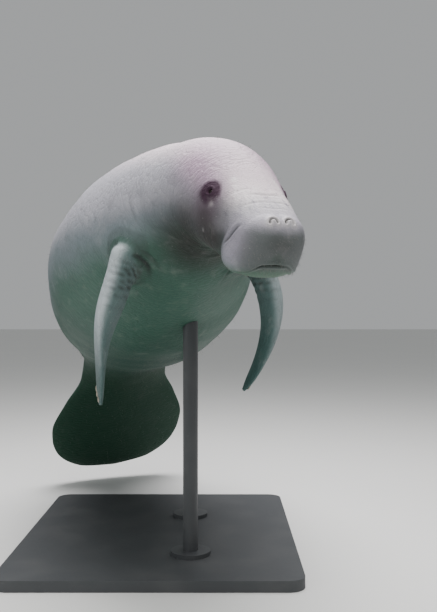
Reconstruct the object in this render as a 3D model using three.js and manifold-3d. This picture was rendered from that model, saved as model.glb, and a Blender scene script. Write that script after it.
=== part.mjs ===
// A West Indian manatee, life size, held by a plain display stand.
// Millimetres, +Z up. The origin is the centre of the underside of the stand's base.
// The animal swims towards -Y with its head turned to +X and its tail hanging towards +Y.
import * as THREE from 'three';
import { ParametricGeometry } from 'three/addons/geometries/ParametricGeometry.js';
import { mergeVertices } from 'three/addons/utils/BufferGeometryUtils.js';
import Module from 'manifold-3d';

const wasm = await Module();
wasm.setup();

// Driving dimensions of the body
const LENGTH = 3000;
const SNOUT_CAP = 60;
const SNOUT_BLUNTNESS = 0.375;
const TAIL_CAP = 30;
const GAP = 0.3;
const EYE_STATION = 270;
const EYE_STATION_PLACE = new THREE.Vector3(302, -967, 1241);
const COLUMNS = 44;

// Sections of the straight body, from the snout back:
// distance back, half width, height above and depth below the spine, squareness
const SECTIONS = [
  [60, 96, 88, 106, 2.9],
  [130, 106, 107, 112, 2.9],
  [200, 121, 127, 114, 2.35],
  [270, 143, 148, 125, 2.1],
  [400, 179, 175, 149, 2.05],
  [550, 219, 206, 180, 1.95],
  [750, 286, 274, 246, 1.88],
  [1000, 368, 336, 302, 1.9],
  [1300, 410, 348, 360, 2.05],
  [1600, 395, 327, 350, 2.1],
  [1900, 327, 259, 271, 2.05],
  [2100, 261, 189, 189, 2.0],
  [2250, 215, 127, 127, 2.0],
  [2370, 224, 87, 87, 1.9],
  [2520, 297, 59.5, 59.5, 1.8],
  [2700, 362, 45, 45, 1.8],
  [2850, 335, 35, 35, 1.8],
  [2950, 232, 24, 24, 1.8],
  [LENGTH, 65, 13, 13, 1.8],
];

// Heading of the spine: distance back, turn from -Y towards +X, nose-up pitch, roll, in degrees
const BENDS = [
  [0, 25.3, -27.8, 0],
  [300, 25.3, -29.4, 0],
  [550, 24.8, 7.0, 0],
  [850, 20.0, 16.6, 0],
  [1300, 12.9, 14.6, 0],
  [1800, 12.9, 26.4, 0],
  [2000, 13.6, 33.5, 0],
  [2250, 14.7, 43.2, 4.5],
  [2500, 16.4, 56.6, 9],
  [LENGTH, 16.4, 59.6, 9],
];
const STATION_STEP = 10;

// Rings of the body's surface: from, to and how many, between the two rounded ends
const RING_STRETCHES = [[60, 300, 16], [300, 640, 12], [640, 1300, 9], [1300, 2150, 8], [2150, 2970, 13]];
const SNOUT_RINGS = 7;
const TAIL_RINGS = 4;

// Cuts between the nodes of the body
const MUZZLE_MIDDLE = 90;
const MUZZLE_END = 150;
const HEAD_END = 400;
const NECK_END = 540;
const SHOULDER_END = 1150;
const MIDDLE_END = 1750;
const RUMP_END = 2150;
const STOCK_END = 2420;

// Mouth: its height at the middle, how far the lip pads hang, and its corner
const MOUTH_HEIGHT = -42;
const LIP_DROP = 34;
const LIP_START = 35;
const LIP_WIDTH = 50;
const MOUTH_FRONT = 2.5;
const MOUTH_CORNER = 125;
const LOWER_LIP_SETBACK = 8;
const LOWER_LIP_EDGE = 18;
const SETBACK_FADE = [90, 60];
const MOUTH_SLIT = 0.6;

// Soft swellings (height over 0) and hollows (under 0), on both sides of the body
const SWELLINGS = [
  { name: 'lip pad', x: 96, back: 88, z: -66, reach: 44, height: 12 },
  { name: 'upper lip pad', x: 64, back: 10, z: 8, reach: 44, height: 5 },
  { name: 'groove of the snout', x: 0, back: 2, z: -18, reach: 22, height: -5 },
  { name: 'nostril mound', x: 25, back: 34, z: 80, reach: 17, height: 7 },
  { name: 'eye mound', x: 122, back: 250, z: 70, reach: 34, height: 7 },
  { name: 'eye pit', x: 122, back: 245, z: 72, reach: 15, height: -5 },
  { name: 'cheek', x: 124, back: 235, z: -45, reach: 48, height: 5 },
  { name: 'throat', x: 0, back: 330, z: -140, reach: 70, height: 8 },
];

// Soft creases that run over the skin on both sides: points of distance back and height
const CREASES = [
  { name: 'muzzle fold', width: 19, depth: 12, line: [[143, 12], [152, -22], [158, -62], [156, -98]] },
  { name: 'neck fold', width: 26, depth: 6, line: [[395, 30], [400, -50], [375, -120]] },
  { name: 'shoulder fold', width: 30, depth: 7, line: [[560, 0], [545, -80], [500, -150]] },
];
const CREASE_STEPS = 24;

// Narrow grooves carved into the skin on both sides: radius and points of distance back and height
const GROOVES = [
  { name: 'lip wrinkle', node: 'muzzle', radius: 3.2, line: [[74, 36], [92, 14], [112, -12]] },
  { name: 'first throat wrinkle', node: 'neck', radius: 4, line: [[470, 0], [478, -70], [466, -125]] },
  { name: 'second throat wrinkle', node: 'neck', radius: 4, line: [[508, -20], [514, -95], [500, -150]] },
];
const MOUTH_RADIUS = 3.4;

// Nostrils: crescents on top of the muzzle
const NOSTRIL_X = 24;
const NOSTRIL_BACK = 27;
const NOSTRIL_WIDTH = 11;
const NOSTRIL_DEPTH = 9;
const NOSTRIL_RADIUS = 2.8;

// Eyes and lids
const EYE_BACK = 245;
const EYE_HEIGHT = 73;
const EYE_RADIUS = 11;
const EYE_SINK = 7.5;
const LID_RING = 11.5;
const LID_ROLL = 4.6;
const EYE_SEGMENTS = [14, 10];
const LID_SEGMENTS = [7, 18];

// Flippers, with distances along the limb as parts of its length
const FLIPPER_LENGTH = 533;
const FLIPPER_ROOT = { x: 210, back: 711, z: -121 };
const FLIPPER_INNER = { x: 110, back: 706, z: -105 };
const FLIPPER_INNER_END = -0.2;
const ELBOW = 0.42;
const LIMB_STEPS = 40;
const FLIPPER_STACKS = 18;
const FLIPPER_SLICES = 16;
// Part of the length, half chord, half thickness
const FLIPPER_SECTIONS = [
  [0, 82, 53],
  [0.15, 80, 46],
  [0.35, 76, 42],
  [0.6, 84, 26],
  [0.8, 70, 15],
  [0.93, 48, 10],
  [1, 12, 5],
];
// Part of the length, then the way the limb runs, across and away, for each unit down
const FLIPPER_COURSES = {
  right: [[0, -0.24, -0.05], [0.3, -0.34, -0.06], [0.65, -0.1, 0.1], [1, 0.03, 0.08]],
  left: [[0, 1.02, -0.05], [0.3, 0.28, -0.1], [0.65, -0.31, -0.02], [1, -0.66, 0.06]],
};
const CHORD_TURN = THREE.MathUtils.degToRad(9);
const SIDES = { right: -1, left: 1 };

// Wrinkles across the upper arm, as parts of the length
const WRINKLES = [0.16, 0.24];
const WRINKLE_RADIUS = 3;

// Nails: places on the blade as part of the length and part of the half chord
const NAILS = [[0.955, -0.45], [0.925, -0.05], [0.9, 0.38]];
const NAIL_SIZE = [8, 11, 3.2];
const NAIL_SEGMENTS = [8, 6];

// Stand
const BASE_WIDTH = 1080;
const BASE_DEPTH = 1250;
const BASE_HEIGHT = 40;
const BASE_CORNER = 60;
const ROD_RADIUS = 28;
const ROD_TOP = 900;
const FOOT_RADIUS = 75;
const FOOT_HEIGHT = 16;
const RODS = { stand_rod_front: [135, -330], stand_rod_rear: [116, 220] };

// Materials
function paint(color, roughness, metalness = 0) {
  return new THREE.MeshStandardMaterial({ color, roughness, metalness });
}

const SKIN = paint(0x8f8b8a, 0.75);
const DARK_SKIN = paint(0x5d635e, 0.78);
const FLIPPER_SKIN = paint(0x8b979c, 0.75);
const EYE = paint(0x120d0c, 0.15);
const NAIL = paint(0xb9ab93, 0.5);
const STAND = paint(0x3a3d40, 0.5, 0.2);

// Monotone cubic through rows of values, held level beyond both ends
function slope(rows, k, column) {
  const last = rows.length - 1;
  const step = (i) => rows[i + 1][0] - rows[i][0];
  const rise = (i) => (rows[i + 1][column] - rows[i][column]) / step(i);
  if (k === 0) return rise(0);
  if (k === last) return rise(last - 1);
  const before = rise(k - 1);
  const after = rise(k);
  if (before * after <= 0) return 0;
  const first = 2 * step(k) + step(k - 1);
  const second = step(k) + 2 * step(k - 1);
  return (first + second) / (first / before + second / after);
}

function between(rows, at, column) {
  const last = rows.length - 1;
  if (at <= rows[0][0]) return rows[0][column];
  if (at >= rows[last][0]) return rows[last][column];
  let k = 0;
  while (rows[k + 1][0] <= at) k += 1;
  const length = rows[k + 1][0] - rows[k][0];
  const t = (at - rows[k][0]) / length;
  const start = (2 * t ** 3 - 3 * t ** 2 + 1) * rows[k][column];
  const startSlope = (t ** 3 - 2 * t ** 2 + t) * length * slope(rows, k, column);
  const end = (3 * t ** 2 - 2 * t ** 3) * rows[k + 1][column];
  const endSlope = (t ** 3 - t ** 2) * length * slope(rows, k + 1, column);
  return start + startSlope + end + endSlope;
}

const clamp01 = (t) => Math.min(Math.max(t, 0), 1);
const smooth = (t) => clamp01(t) ** 2 * (3 - 2 * clamp01(t));
const power = (value, exponent) => Math.sign(value) * Math.abs(value) ** exponent;

// The spine, followed from station to station
function headingAt(back) {
  const yaw = THREE.MathUtils.degToRad(between(BENDS, back, 1));
  const pitch = THREE.MathUtils.degToRad(between(BENDS, back, 2));
  const roll = THREE.MathUtils.degToRad(between(BENDS, back, 3));
  const level = Math.cos(pitch);
  const forward = new THREE.Vector3(Math.sin(yaw) * level, -Math.cos(yaw) * level, Math.sin(pitch));
  const across = new THREE.Vector3(0, 0, 1).cross(forward).normalize();
  const upright = forward.clone().cross(across);
  const left = across.clone().multiplyScalar(Math.cos(roll)).addScaledVector(upright, Math.sin(roll));
  const up = upright.clone().multiplyScalar(Math.cos(roll)).addScaledVector(across, -Math.sin(roll));
  return { forward, left, up };
}

function followSpine() {
  const stations = [{ ...headingAt(0), place: new THREE.Vector3() }];
  for (let back = STATION_STEP; back <= LENGTH; back += STATION_STEP) {
    const last = stations[stations.length - 1];
    const next = headingAt(back);
    const mean = last.forward.clone().add(next.forward).multiplyScalar(0.5);
    stations.push({ ...next, place: last.place.clone().addScaledVector(mean, -STATION_STEP) });
  }
  const shift = EYE_STATION_PLACE.clone().sub(stations[EYE_STATION / STATION_STEP].place);
  stations.forEach((station) => station.place.add(shift));
  return stations;
}

const STATIONS = followSpine();

function frameAt(back) {
  const last = STATIONS.length - 1;
  const at = Math.min(Math.max(back / STATION_STEP, 0), last);
  const k = Math.min(Math.floor(at), last - 1);
  const mix = (name) => STATIONS[k][name].clone().lerp(STATIONS[k + 1][name], at - k);
  const frame = { place: mix('place'), forward: mix('forward'), left: mix('left'), up: mix('up') };
  frame.place.addScaledVector(frame.forward, at * STATION_STEP - back);
  return frame;
}

// A point of the straight body is (x, distance back, z); bending puts it beside the spine
function bend(point) {
  const frame = frameAt(point.y);
  return frame.place.addScaledVector(frame.left, point.x).addScaledVector(frame.up, point.z);
}

// Size of the section at a distance back, drawn in at the snout and the tail's edge
function sectionAt(back) {
  const snout = clamp01(back / SNOUT_CAP);
  const tail = clamp01((back - LENGTH + TAIL_CAP) / TAIL_CAP);
  const draw = (1 - (1 - snout) ** 2) ** SNOUT_BLUNTNESS * Math.sqrt(1 - tail ** 2);
  const [half, above, below, square] = [1, 2, 3, 4].map((column) => between(SECTIONS, back, column));
  return { half: half * draw, above: above * draw, below: below * draw, square };
}

function plainPoint(turn, back) {
  const { half, above, below, square } = sectionAt(back);
  const x = half * power(Math.cos(turn), 2 / square);
  const height = Math.sin(turn) > 0 ? above : below;
  return new THREE.Vector3(x, back, height * power(Math.sin(turn), 2 / square));
}

// Places on the skin: on the flank at a height, and on the roof of the muzzle at a width
function flankPoint(side, back, z) {
  const { half, above, below, square } = sectionAt(back);
  const part = Math.min(Math.abs(z) / (z > 0 ? above : below), 1);
  return new THREE.Vector3(side * half * (1 - part ** square) ** (1 / square), back, z);
}

function roofPoint(x, back) {
  const { half, above, square } = sectionAt(back);
  const part = Math.min(Math.abs(x) / half, 1);
  return new THREE.Vector3(x, back, above * (1 - part ** square) ** (1 / square));
}

const mouthHeight = (x) => MOUTH_HEIGHT - LIP_DROP * smooth((Math.abs(x) - LIP_START) / LIP_WIDTH);

// Where the mouth's surface meets the skin, found by halving the turn below the flank
function mouthPoint(side, back) {
  let low = -Math.PI / 2;
  let high = 0;
  for (let i = 0; i < 30; i += 1) {
    const middle = (low + high) / 2;
    const point = plainPoint(middle, back);
    if (point.z < mouthHeight(point.x)) low = middle;
    else high = middle;
  }
  const point = plainPoint(low, back);
  return new THREE.Vector3(side * point.x, back, point.z);
}

// Away from the spine, and ahead of the muzzle's middle also away from that
function outward(point) {
  const centre = new THREE.Vector3(0, Math.max(point.y, MUZZLE_MIDDLE), 0);
  return point.clone().sub(centre).normalize();
}

const creaseSamples = CREASES.map(({ line, width, depth }) => {
  const curve = new THREE.CatmullRomCurve3(line.map(([back, z]) => flankPoint(1, back, z)));
  return { width, depth, points: curve.getPoints(CREASE_STEPS) };
});

// How far the skin stands out from its plain section
function relief(point) {
  const mirrored = new THREE.Vector3(Math.abs(point.x), point.y, point.z);
  let height = 0;
  SWELLINGS.forEach(({ x, back, z, reach, height: rise }) => {
    const away = mirrored.distanceTo(new THREE.Vector3(x, back, z)) / reach;
    height += rise * Math.exp(-(away ** 2));
  });
  creaseSamples.forEach(({ width, depth, points }) => {
    const away = Math.min(...points.map((sample) => sample.distanceTo(mirrored))) / width;
    height -= depth * Math.exp(-(away ** 2));
  });
  const under = smooth((mouthHeight(point.x) - point.z) / LOWER_LIP_EDGE);
  const ahead = 1 - smooth((point.y - SETBACK_FADE[0]) / SETBACK_FADE[1]);
  return height - LOWER_LIP_SETBACK * under * ahead;
}

const raise = (point, more = 0) => point.clone().addScaledVector(outward(point), relief(point) + more);
const onSkin = (point, more = 0) => bend(raise(point, more));

// Turning a closed surface into a solid, and back into a mesh
function solid(geometry) {
  geometry.deleteAttribute('normal');
  geometry.deleteAttribute('uv');
  const merged = mergeVertices(geometry);
  const corners = merged.index.array;
  const faces = [];
  for (let i = 0; i < corners.length; i += 3) {
    const [a, b, c] = [corners[i], corners[i + 1], corners[i + 2]];
    if (a !== b && b !== c && c !== a) faces.push(a, b, c);
  }
  const vertProperties = Float32Array.from(merged.attributes.position.array);
  const triVerts = Uint32Array.from(faces);
  return new wasm.Manifold(new wasm.Mesh({ numProp: 3, vertProperties, triVerts }));
}

const bySize = (body) => body.decompose().sort((a, b) => b.volume() - a.volume());

const group = new THREE.Group();

function addNode(name, body, material) {
  const { vertProperties, triVerts } = bySize(body)[0].getMesh();
  const geometry = new THREE.BufferGeometry();
  geometry.setAttribute('position', new THREE.BufferAttribute(vertProperties, 3));
  geometry.setIndex(new THREE.BufferAttribute(triVerts, 1));
  geometry.computeVertexNormals();
  const mesh = new THREE.Mesh(geometry, material);
  mesh.name = name;
  group.add(mesh);
}

// A direction that no groove runs along
const ASLANT = new THREE.Vector3(0.3, 0.2, 1);

// A round-ended bar along a path, thinning to nothing at both ends
function taperedBar(path, radius, slices, stacks) {
  return solid(new ParametricGeometry((u, v, target) => {
    const turn = (u % 1) * 2 * Math.PI;
    const along = path.getTangent(v);
    const side = ASLANT.clone().cross(along).normalize();
    const top = along.clone().cross(side);
    const size = v > 0 && v < 1 ? radius * Math.sqrt(Math.sin(Math.PI * v)) : 0;
    target.copy(path.getPoint(v));
    target.addScaledVector(side, size * Math.cos(turn)).addScaledVector(top, size * Math.sin(turn));
  }, slices, stacks));
}

function grooveAlong(points, radius, stacks = 8) {
  return taperedBar(new THREE.CatmullRomCurve3(points.map((point) => onSkin(point))), radius, 6, stacks);
}

// The whole body as one surface, grown by a given amount
const RING_PLACES = [];
for (let i = 0; i < SNOUT_RINGS; i += 1) {
  RING_PLACES.push(SNOUT_CAP * (1 - Math.cos((i / SNOUT_RINGS) ** 1.3 * Math.PI / 2)));
}
RING_STRETCHES.forEach(([from, to, count]) => {
  for (let i = 0; i < count; i += 1) RING_PLACES.push(from + (to - from) * i / count);
});
for (let i = 0; i <= TAIL_RINGS; i += 1) {
  RING_PLACES.push(LENGTH - TAIL_CAP * (1 - Math.sin(i / TAIL_RINGS * Math.PI / 2)));
}

function wholeBody(more = 0) {
  const rings = RING_PLACES.length - 1;
  return solid(new ParametricGeometry((u, v, target) => {
    const turn = (1 - u % 1) * 2 * Math.PI % (2 * Math.PI);
    const place = RING_PLACES[Math.round(v * rings)];
    target.copy(onSkin(plainPoint(turn, place), place > 0 && place < LENGTH ? more : 0));
  }, COLUMNS, rings));
}

// The mouth's slit as a thin curved sheet that reaches out past the skin and closes along its edges
const SHEET_HALF = 150;
const SHEET_REACH = 40;
const SHEET_CELLS = 20;
const SHEET_ROWS = 4;

function mouthSheet() {
  return solid(new ParametricGeometry((u, v, target) => {
    const column = Math.round((u % 1) * SHEET_CELLS * 2);
    const onTop = column < SHEET_CELLS;
    const across = onTop ? column / SHEET_CELLS : 2 - column / SHEET_CELLS;
    const row = Math.round(v * SHEET_ROWS);
    const edge = column % SHEET_CELLS === 0 || row % SHEET_ROWS === 0;
    const lift = edge ? 0 : (onTop ? MOUTH_SLIT : -MOUTH_SLIT) / 2;
    const x = SHEET_HALF * (2 * across - 1);
    const back = -SHEET_REACH + (MUZZLE_END + 2 * SHEET_REACH) * row / SHEET_ROWS;
    target.copy(bend(new THREE.Vector3(x, back, mouthHeight(x) + lift)));
  }, SHEET_CELLS * 2, SHEET_ROWS));
}

// The part of the body between two stations, with half a gap left at each cut
function stretch(body, from, to) {
  let piece = body;
  if (from > 0) {
    const { place, forward } = frameAt(from);
    piece = piece.trimByPlane(forward.clone().negate().toArray(), GAP / 2 - forward.dot(place));
  }
  if (to < LENGTH) {
    const { place, forward } = frameAt(to);
    piece = piece.trimByPlane(forward.toArray(), GAP / 2 + forward.dot(place));
  }
  return piece;
}

// Grooves of one stretch of the body, on both sides
function carveGrooves(piece, nodeName) {
  let carved = piece;
  GROOVES.filter(({ node }) => node === nodeName).forEach(({ radius, line }) => {
    Object.values(SIDES).forEach((side) => {
      carved = carved.subtract(grooveAlong(line.map(([back, z]) => flankPoint(side, back, z)), radius));
    });
  });
  return carved;
}

function mouthGroove() {
  const parts = [1, 0.85, 0.7, 0.55, 0.4, 0.27, 0.14, 0.05];
  const places = parts.map((t) => MOUTH_FRONT + (MOUTH_CORNER - MOUTH_FRONT) * t);
  const right = places.map((back) => mouthPoint(-1, back));
  const left = places.map((back) => mouthPoint(1, back)).reverse();
  const middle = new THREE.Vector3(0, MOUTH_FRONT, MOUTH_HEIGHT);
  return grooveAlong([...right, middle, ...left], MOUTH_RADIUS, 26);
}

function nostrilGroove(side) {
  const points = [0, 0.2, 0.4, 0.6, 0.8, 1].map((t) => {
    const turn = Math.PI * t;
    const x = side * NOSTRIL_X + NOSTRIL_WIDTH * Math.cos(turn);
    return roofPoint(x, NOSTRIL_BACK + NOSTRIL_DEPTH * Math.sin(turn));
  });
  return grooveAlong(points, NOSTRIL_RADIUS, 8);
}

// A shape made at the origin, turned and set in its place
function placed(geometry, place, xAxis, yAxis, zAxis) {
  const turned = new THREE.Matrix4().makeBasis(xAxis, yAxis, zAxis).setPosition(place);
  return solid(geometry.applyMatrix4(turned));
}

function eyeFrame(side) {
  const straight = flankPoint(side, EYE_BACK, EYE_HEIGHT);
  const place = onSkin(straight);
  const out = onSkin(straight, 1).sub(place).normalize();
  const across = out.clone().cross(new THREE.Vector3(0, 0, 1)).normalize();
  const top = out.clone().cross(across);
  return { place, out, across, top };
}

function eyeball(side, more = 0) {
  const { place, out, across, top } = eyeFrame(side);
  const centre = place.clone().addScaledVector(out, -EYE_SINK);
  return placed(new THREE.SphereGeometry(EYE_RADIUS + more, ...EYE_SEGMENTS), centre, across, top, out);
}

function lidRing(side) {
  const { place, out, across, top } = eyeFrame(side);
  return placed(new THREE.TorusGeometry(LID_RING, LID_ROLL, ...LID_SEGMENTS), place, across, top, out);
}

// A flipper's centre line, chord and sections
function limbAt(side, t) {
  const course = FLIPPER_COURSES[side];
  const direction = (part) => {
    const [across, away] = [1, 2].map((column) => between(course, part, column));
    return new THREE.Vector3(across, away, -1).normalize();
  };
  const placeOf = ({ x, back, z }) => bend(new THREE.Vector3(SIDES[side] * x, back, z));
  const centre = placeOf(FLIPPER_ROOT);
  const outOfBody = centre.clone().sub(placeOf(FLIPPER_INNER)).normalize();
  const within = Math.max(t / FLIPPER_INNER_END, 0);
  centre.lerp(placeOf(FLIPPER_INNER), within);
  for (let i = 0; i < LIMB_STEPS && t > 0; i += 1) {
    centre.addScaledVector(direction((i + 0.5) * t / LIMB_STEPS), FLIPPER_LENGTH * t / LIMB_STEPS);
  }
  const along = direction(Math.max(t, 0)).lerp(outOfBody, within).normalize();
  const chord = new THREE.Vector3(-SIDES[side] * Math.sin(CHORD_TURN), Math.cos(CHORD_TURN), 0);
  chord.addScaledVector(along, -chord.dot(along)).normalize();
  const outer = along.clone().cross(chord).multiplyScalar(SIDES[side]);
  const ends = t <= FLIPPER_INNER_END || t >= 1 ? 0 : 1;
  const half = between(FLIPPER_SECTIONS, t, 1);
  const thick = between(FLIPPER_SECTIONS, t, 2);
  return { centre, along, chord, outer, half: half * ends, thick: thick * ends };
}

function limbPoint(limb, turn, more = 0) {
  const point = limb.centre.clone().addScaledVector(limb.chord, (limb.half + more) * Math.cos(turn));
  return point.addScaledVector(limb.outer, (limb.thick + more) * Math.sin(turn));
}

function flipper(side) {
  return solid(new ParametricGeometry((u, v, target) => {
    const t = FLIPPER_INNER_END + (1 - FLIPPER_INNER_END) * (1 - (1 - v) ** 1.25);
    const turn = SIDES[side] * (u % 1) * 2 * Math.PI;
    target.copy(limbPoint(limbAt(side, t), turn));
  }, FLIPPER_SLICES, FLIPPER_STACKS));
}

function flipperWrinkle(side, t) {
  const parts = [0.1, 0.3, 0.5, 0.7, 0.9];
  const points = parts.map((part) => limbPoint(limbAt(side, t + 0.02 * part), Math.PI * part));
  return taperedBar(new THREE.CatmullRomCurve3(points), WRINKLE_RADIUS, 5, 8);
}

function nail(side, [t, across], more = 0) {
  const limb = limbAt(side, t);
  const place = limbPoint(limb, Math.acos(across));
  const [wide, long, thick] = NAIL_SIZE.map((size) => size + more);
  const geometry = new THREE.SphereGeometry(1, ...NAIL_SEGMENTS).scale(wide, long, thick);
  return placed(geometry, place, limb.chord, limb.outer.clone().cross(limb.chord), limb.outer);
}

// The head, neck, trunk and tail, parted by thin cuts
const body = wholeBody();
const grownBody = wholeBody(GAP);

const snout = stretch(body, 0, MUZZLE_END).subtract(mouthGroove()).subtract(mouthSheet());
const [upper, lower] = bySize(snout);
let muzzle = carveGrooves(upper, 'muzzle');
Object.values(SIDES).forEach((side) => {
  muzzle = muzzle.subtract(nostrilGroove(side));
});
addNode('muzzle', muzzle, SKIN);
addNode('lower_jaw', lower, SKIN);

let head = stretch(body, MUZZLE_END, HEAD_END);
Object.values(SIDES).forEach((side) => {
  head = head.add(lidRing(side)).subtract(eyeball(side, GAP));
});
addNode('head', head, SKIN);
addNode('neck', carveGrooves(stretch(body, HEAD_END, NECK_END), 'neck'), SKIN);
addNode('torso_front', stretch(body, NECK_END, SHOULDER_END), SKIN);
addNode('torso_mid', stretch(body, SHOULDER_END, MIDDLE_END), SKIN);
addNode('torso_rear', stretch(body, MIDDLE_END, RUMP_END), SKIN);
addNode('tail_stock', stretch(body, RUMP_END, STOCK_END), DARK_SKIN);
addNode('tail_paddle', stretch(body, STOCK_END, LENGTH), DARK_SKIN);

// The eyes, flippers and nails of both sides
Object.entries(SIDES).forEach(([side, sign]) => {
  addNode(`eye_${side}`, eyeball(sign), EYE);
  const limb = flipper(side).subtract(grownBody);
  const { centre, along } = limbAt(side, ELBOW);
  const offset = along.dot(centre);
  let arm = limb.trimByPlane(along.clone().negate().toArray(), GAP / 2 - offset);
  WRINKLES.forEach((t) => {
    arm = arm.subtract(flipperWrinkle(side, t));
  });
  let blade = limb.trimByPlane(along.toArray(), GAP / 2 + offset);
  NAILS.forEach((place, i) => {
    blade = blade.subtract(nail(side, place, GAP));
    addNode(`nail_${side}_${i + 1}`, nail(side, place), NAIL);
  });
  addNode(`flipper_${side}_arm`, arm, FLIPPER_SKIN);
  addNode(`flipper_${side}_blade`, blade, FLIPPER_SKIN);
});

// The stand: a plate with rounded corners, and two rods with round feet
function standBase() {
  const [x, y, r] = [BASE_WIDTH / 2, BASE_DEPTH / 2, BASE_CORNER];
  const outline = new THREE.Shape();
  outline.absarc(x - r, y - r, r, 0, Math.PI / 2);
  outline.absarc(r - x, y - r, r, Math.PI / 2, Math.PI);
  outline.absarc(r - x, r - y, r, Math.PI, 1.5 * Math.PI);
  outline.absarc(x - r, r - y, r, 1.5 * Math.PI, 2 * Math.PI);
  const options = { depth: BASE_HEIGHT, bevelEnabled: false, curveSegments: 8 };
  return solid(new THREE.ExtrudeGeometry(outline, options));
}

function standRod([x, y]) {
  const foot = [[0, 0], [FOOT_RADIUS, 0], [FOOT_RADIUS, FOOT_HEIGHT]];
  const bar = [[ROD_RADIUS, FOOT_HEIGHT], [ROD_RADIUS, ROD_TOP], [0, ROD_TOP]];
  const rod = new THREE.LatheGeometry([...foot, ...bar].map(([r, z]) => new THREE.Vector2(r, z)), 32);
  rod.rotateX(Math.PI / 2);
  rod.translate(x, y, BASE_HEIGHT);
  return solid(rod).subtract(grownBody);
}

addNode('stand_base', standBase(), STAND);
Object.entries(RODS).forEach(([name, place]) => addNode(name, standRod(place), STAND));

export default group;
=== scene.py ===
"""A West Indian manatee on its display stand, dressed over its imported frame."""

import bpy
import numpy as np
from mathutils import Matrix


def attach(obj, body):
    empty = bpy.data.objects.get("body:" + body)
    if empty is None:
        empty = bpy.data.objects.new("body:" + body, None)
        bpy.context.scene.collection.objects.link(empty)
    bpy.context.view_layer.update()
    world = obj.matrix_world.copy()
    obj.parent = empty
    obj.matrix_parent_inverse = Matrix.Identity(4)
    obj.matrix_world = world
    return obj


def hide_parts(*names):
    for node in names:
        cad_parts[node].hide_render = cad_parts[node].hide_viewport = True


bl_info = {
    "name": "Manatee on a stand",
    "version": (1, 0, 0),
    "blender": (4, 5, 0),
    "location": "3D View > Sidebar > Manatee",
    "description": "Builds the skin, eyes, nails, hairs and stand finishes of a life-size manatee",
    "category": "Add Mesh",
}

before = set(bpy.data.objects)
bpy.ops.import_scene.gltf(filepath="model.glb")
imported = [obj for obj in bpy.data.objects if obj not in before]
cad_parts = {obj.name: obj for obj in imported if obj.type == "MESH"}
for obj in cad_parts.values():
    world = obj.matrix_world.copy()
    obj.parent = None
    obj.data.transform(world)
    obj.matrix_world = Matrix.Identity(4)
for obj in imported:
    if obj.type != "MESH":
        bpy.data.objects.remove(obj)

# Every length in the tables below is in millimetres; shapes are turned into metres as they are made
MM = 0.001
BODY = "root"
LENGTH = 3000
SNOUT_CAP = 60
SNOUT_BLUNTNESS = 0.375
TAIL_CAP = 30
STATION_STEP = 10
EYE_STATION = 27
EYE_STATION_PLACE = (302, -967, 1241)
MUZZLE_MIDDLE = 90
SIDES = {-1: "right", 1: "left"}

# Straight body: distance back, half width, height above and depth below the spine, squareness
SECTIONS = [
    (60, 96, 88, 106, 2.9),
    (130, 106, 107, 112, 2.9),
    (200, 121, 127, 114, 2.35),
    (270, 143, 148, 125, 2.1),
    (400, 179, 175, 149, 2.05),
    (550, 219, 206, 180, 1.95),
    (750, 286, 274, 246, 1.88),
    (1000, 368, 336, 302, 1.9),
    (1300, 410, 348, 360, 2.05),
    (1600, 395, 327, 350, 2.1),
    (1900, 327, 259, 271, 2.05),
    (2100, 261, 189, 189, 2.0),
    (2250, 215, 127, 127, 2.0),
    (2370, 224, 87, 87, 1.9),
    (2520, 297, 59.5, 59.5, 1.8),
    (2700, 362, 45, 45, 1.8),
    (2775, 356, 40, 40, 1.8),
    (2850, 333, 35, 35, 1.8),
    (2900, 298, 30, 30, 1.8),
    (2950, 235, 24, 24, 1.8),
    (2980, 172, 18, 18, 1.8),
    (3000, 65, 13, 13, 1.8),
]

# Spine: distance back, turn from -Y towards +X, nose-up pitch, roll, in degrees
BENDS = [
    (0, 25.3, -27.8, 0),
    (300, 25.3, -29.4, 0),
    (550, 24.8, 7.0, 0),
    (850, 20.0, 16.6, 0),
    (1300, 12.9, 14.6, 0),
    (1800, 12.9, 26.4, 0),
    (2000, 13.6, 33.5, 0),
    (2250, 14.7, 43.2, 4.5),
    (2500, 16.4, 56.6, 9),
    (3000, 16.4, 59.6, 9),
]

# Mouth: its height at the middle, how far the lip pads hang, its corner, and the lower lip's setback
MOUTH_HEIGHT = -42
LIP_DROP, LIP_START, LIP_WIDTH = 34, 35, 50
MOUTH_CORNER = 125
LOWER_LIP_SETBACK, LOWER_LIP_EDGE = 8, 18
SETBACK_FADE = (90, 60)

# Soft swellings and hollows on both sides: x, distance back, z, reach, height
SWELLINGS = [
    (96, 88, -66, 44, 17),
    (88, 66, -98, 30, 6),
    (64, 10, 8, 44, 5),
    (0, 2, -18, 22, -5),
    (25, 34, 80, 17, 7),
    (122, 250, 70, 34, 7),
    (122, 245, 72, 15, -5),
    (124, 235, -45, 48, 5),
    (0, 330, -140, 70, 8),
]

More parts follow.
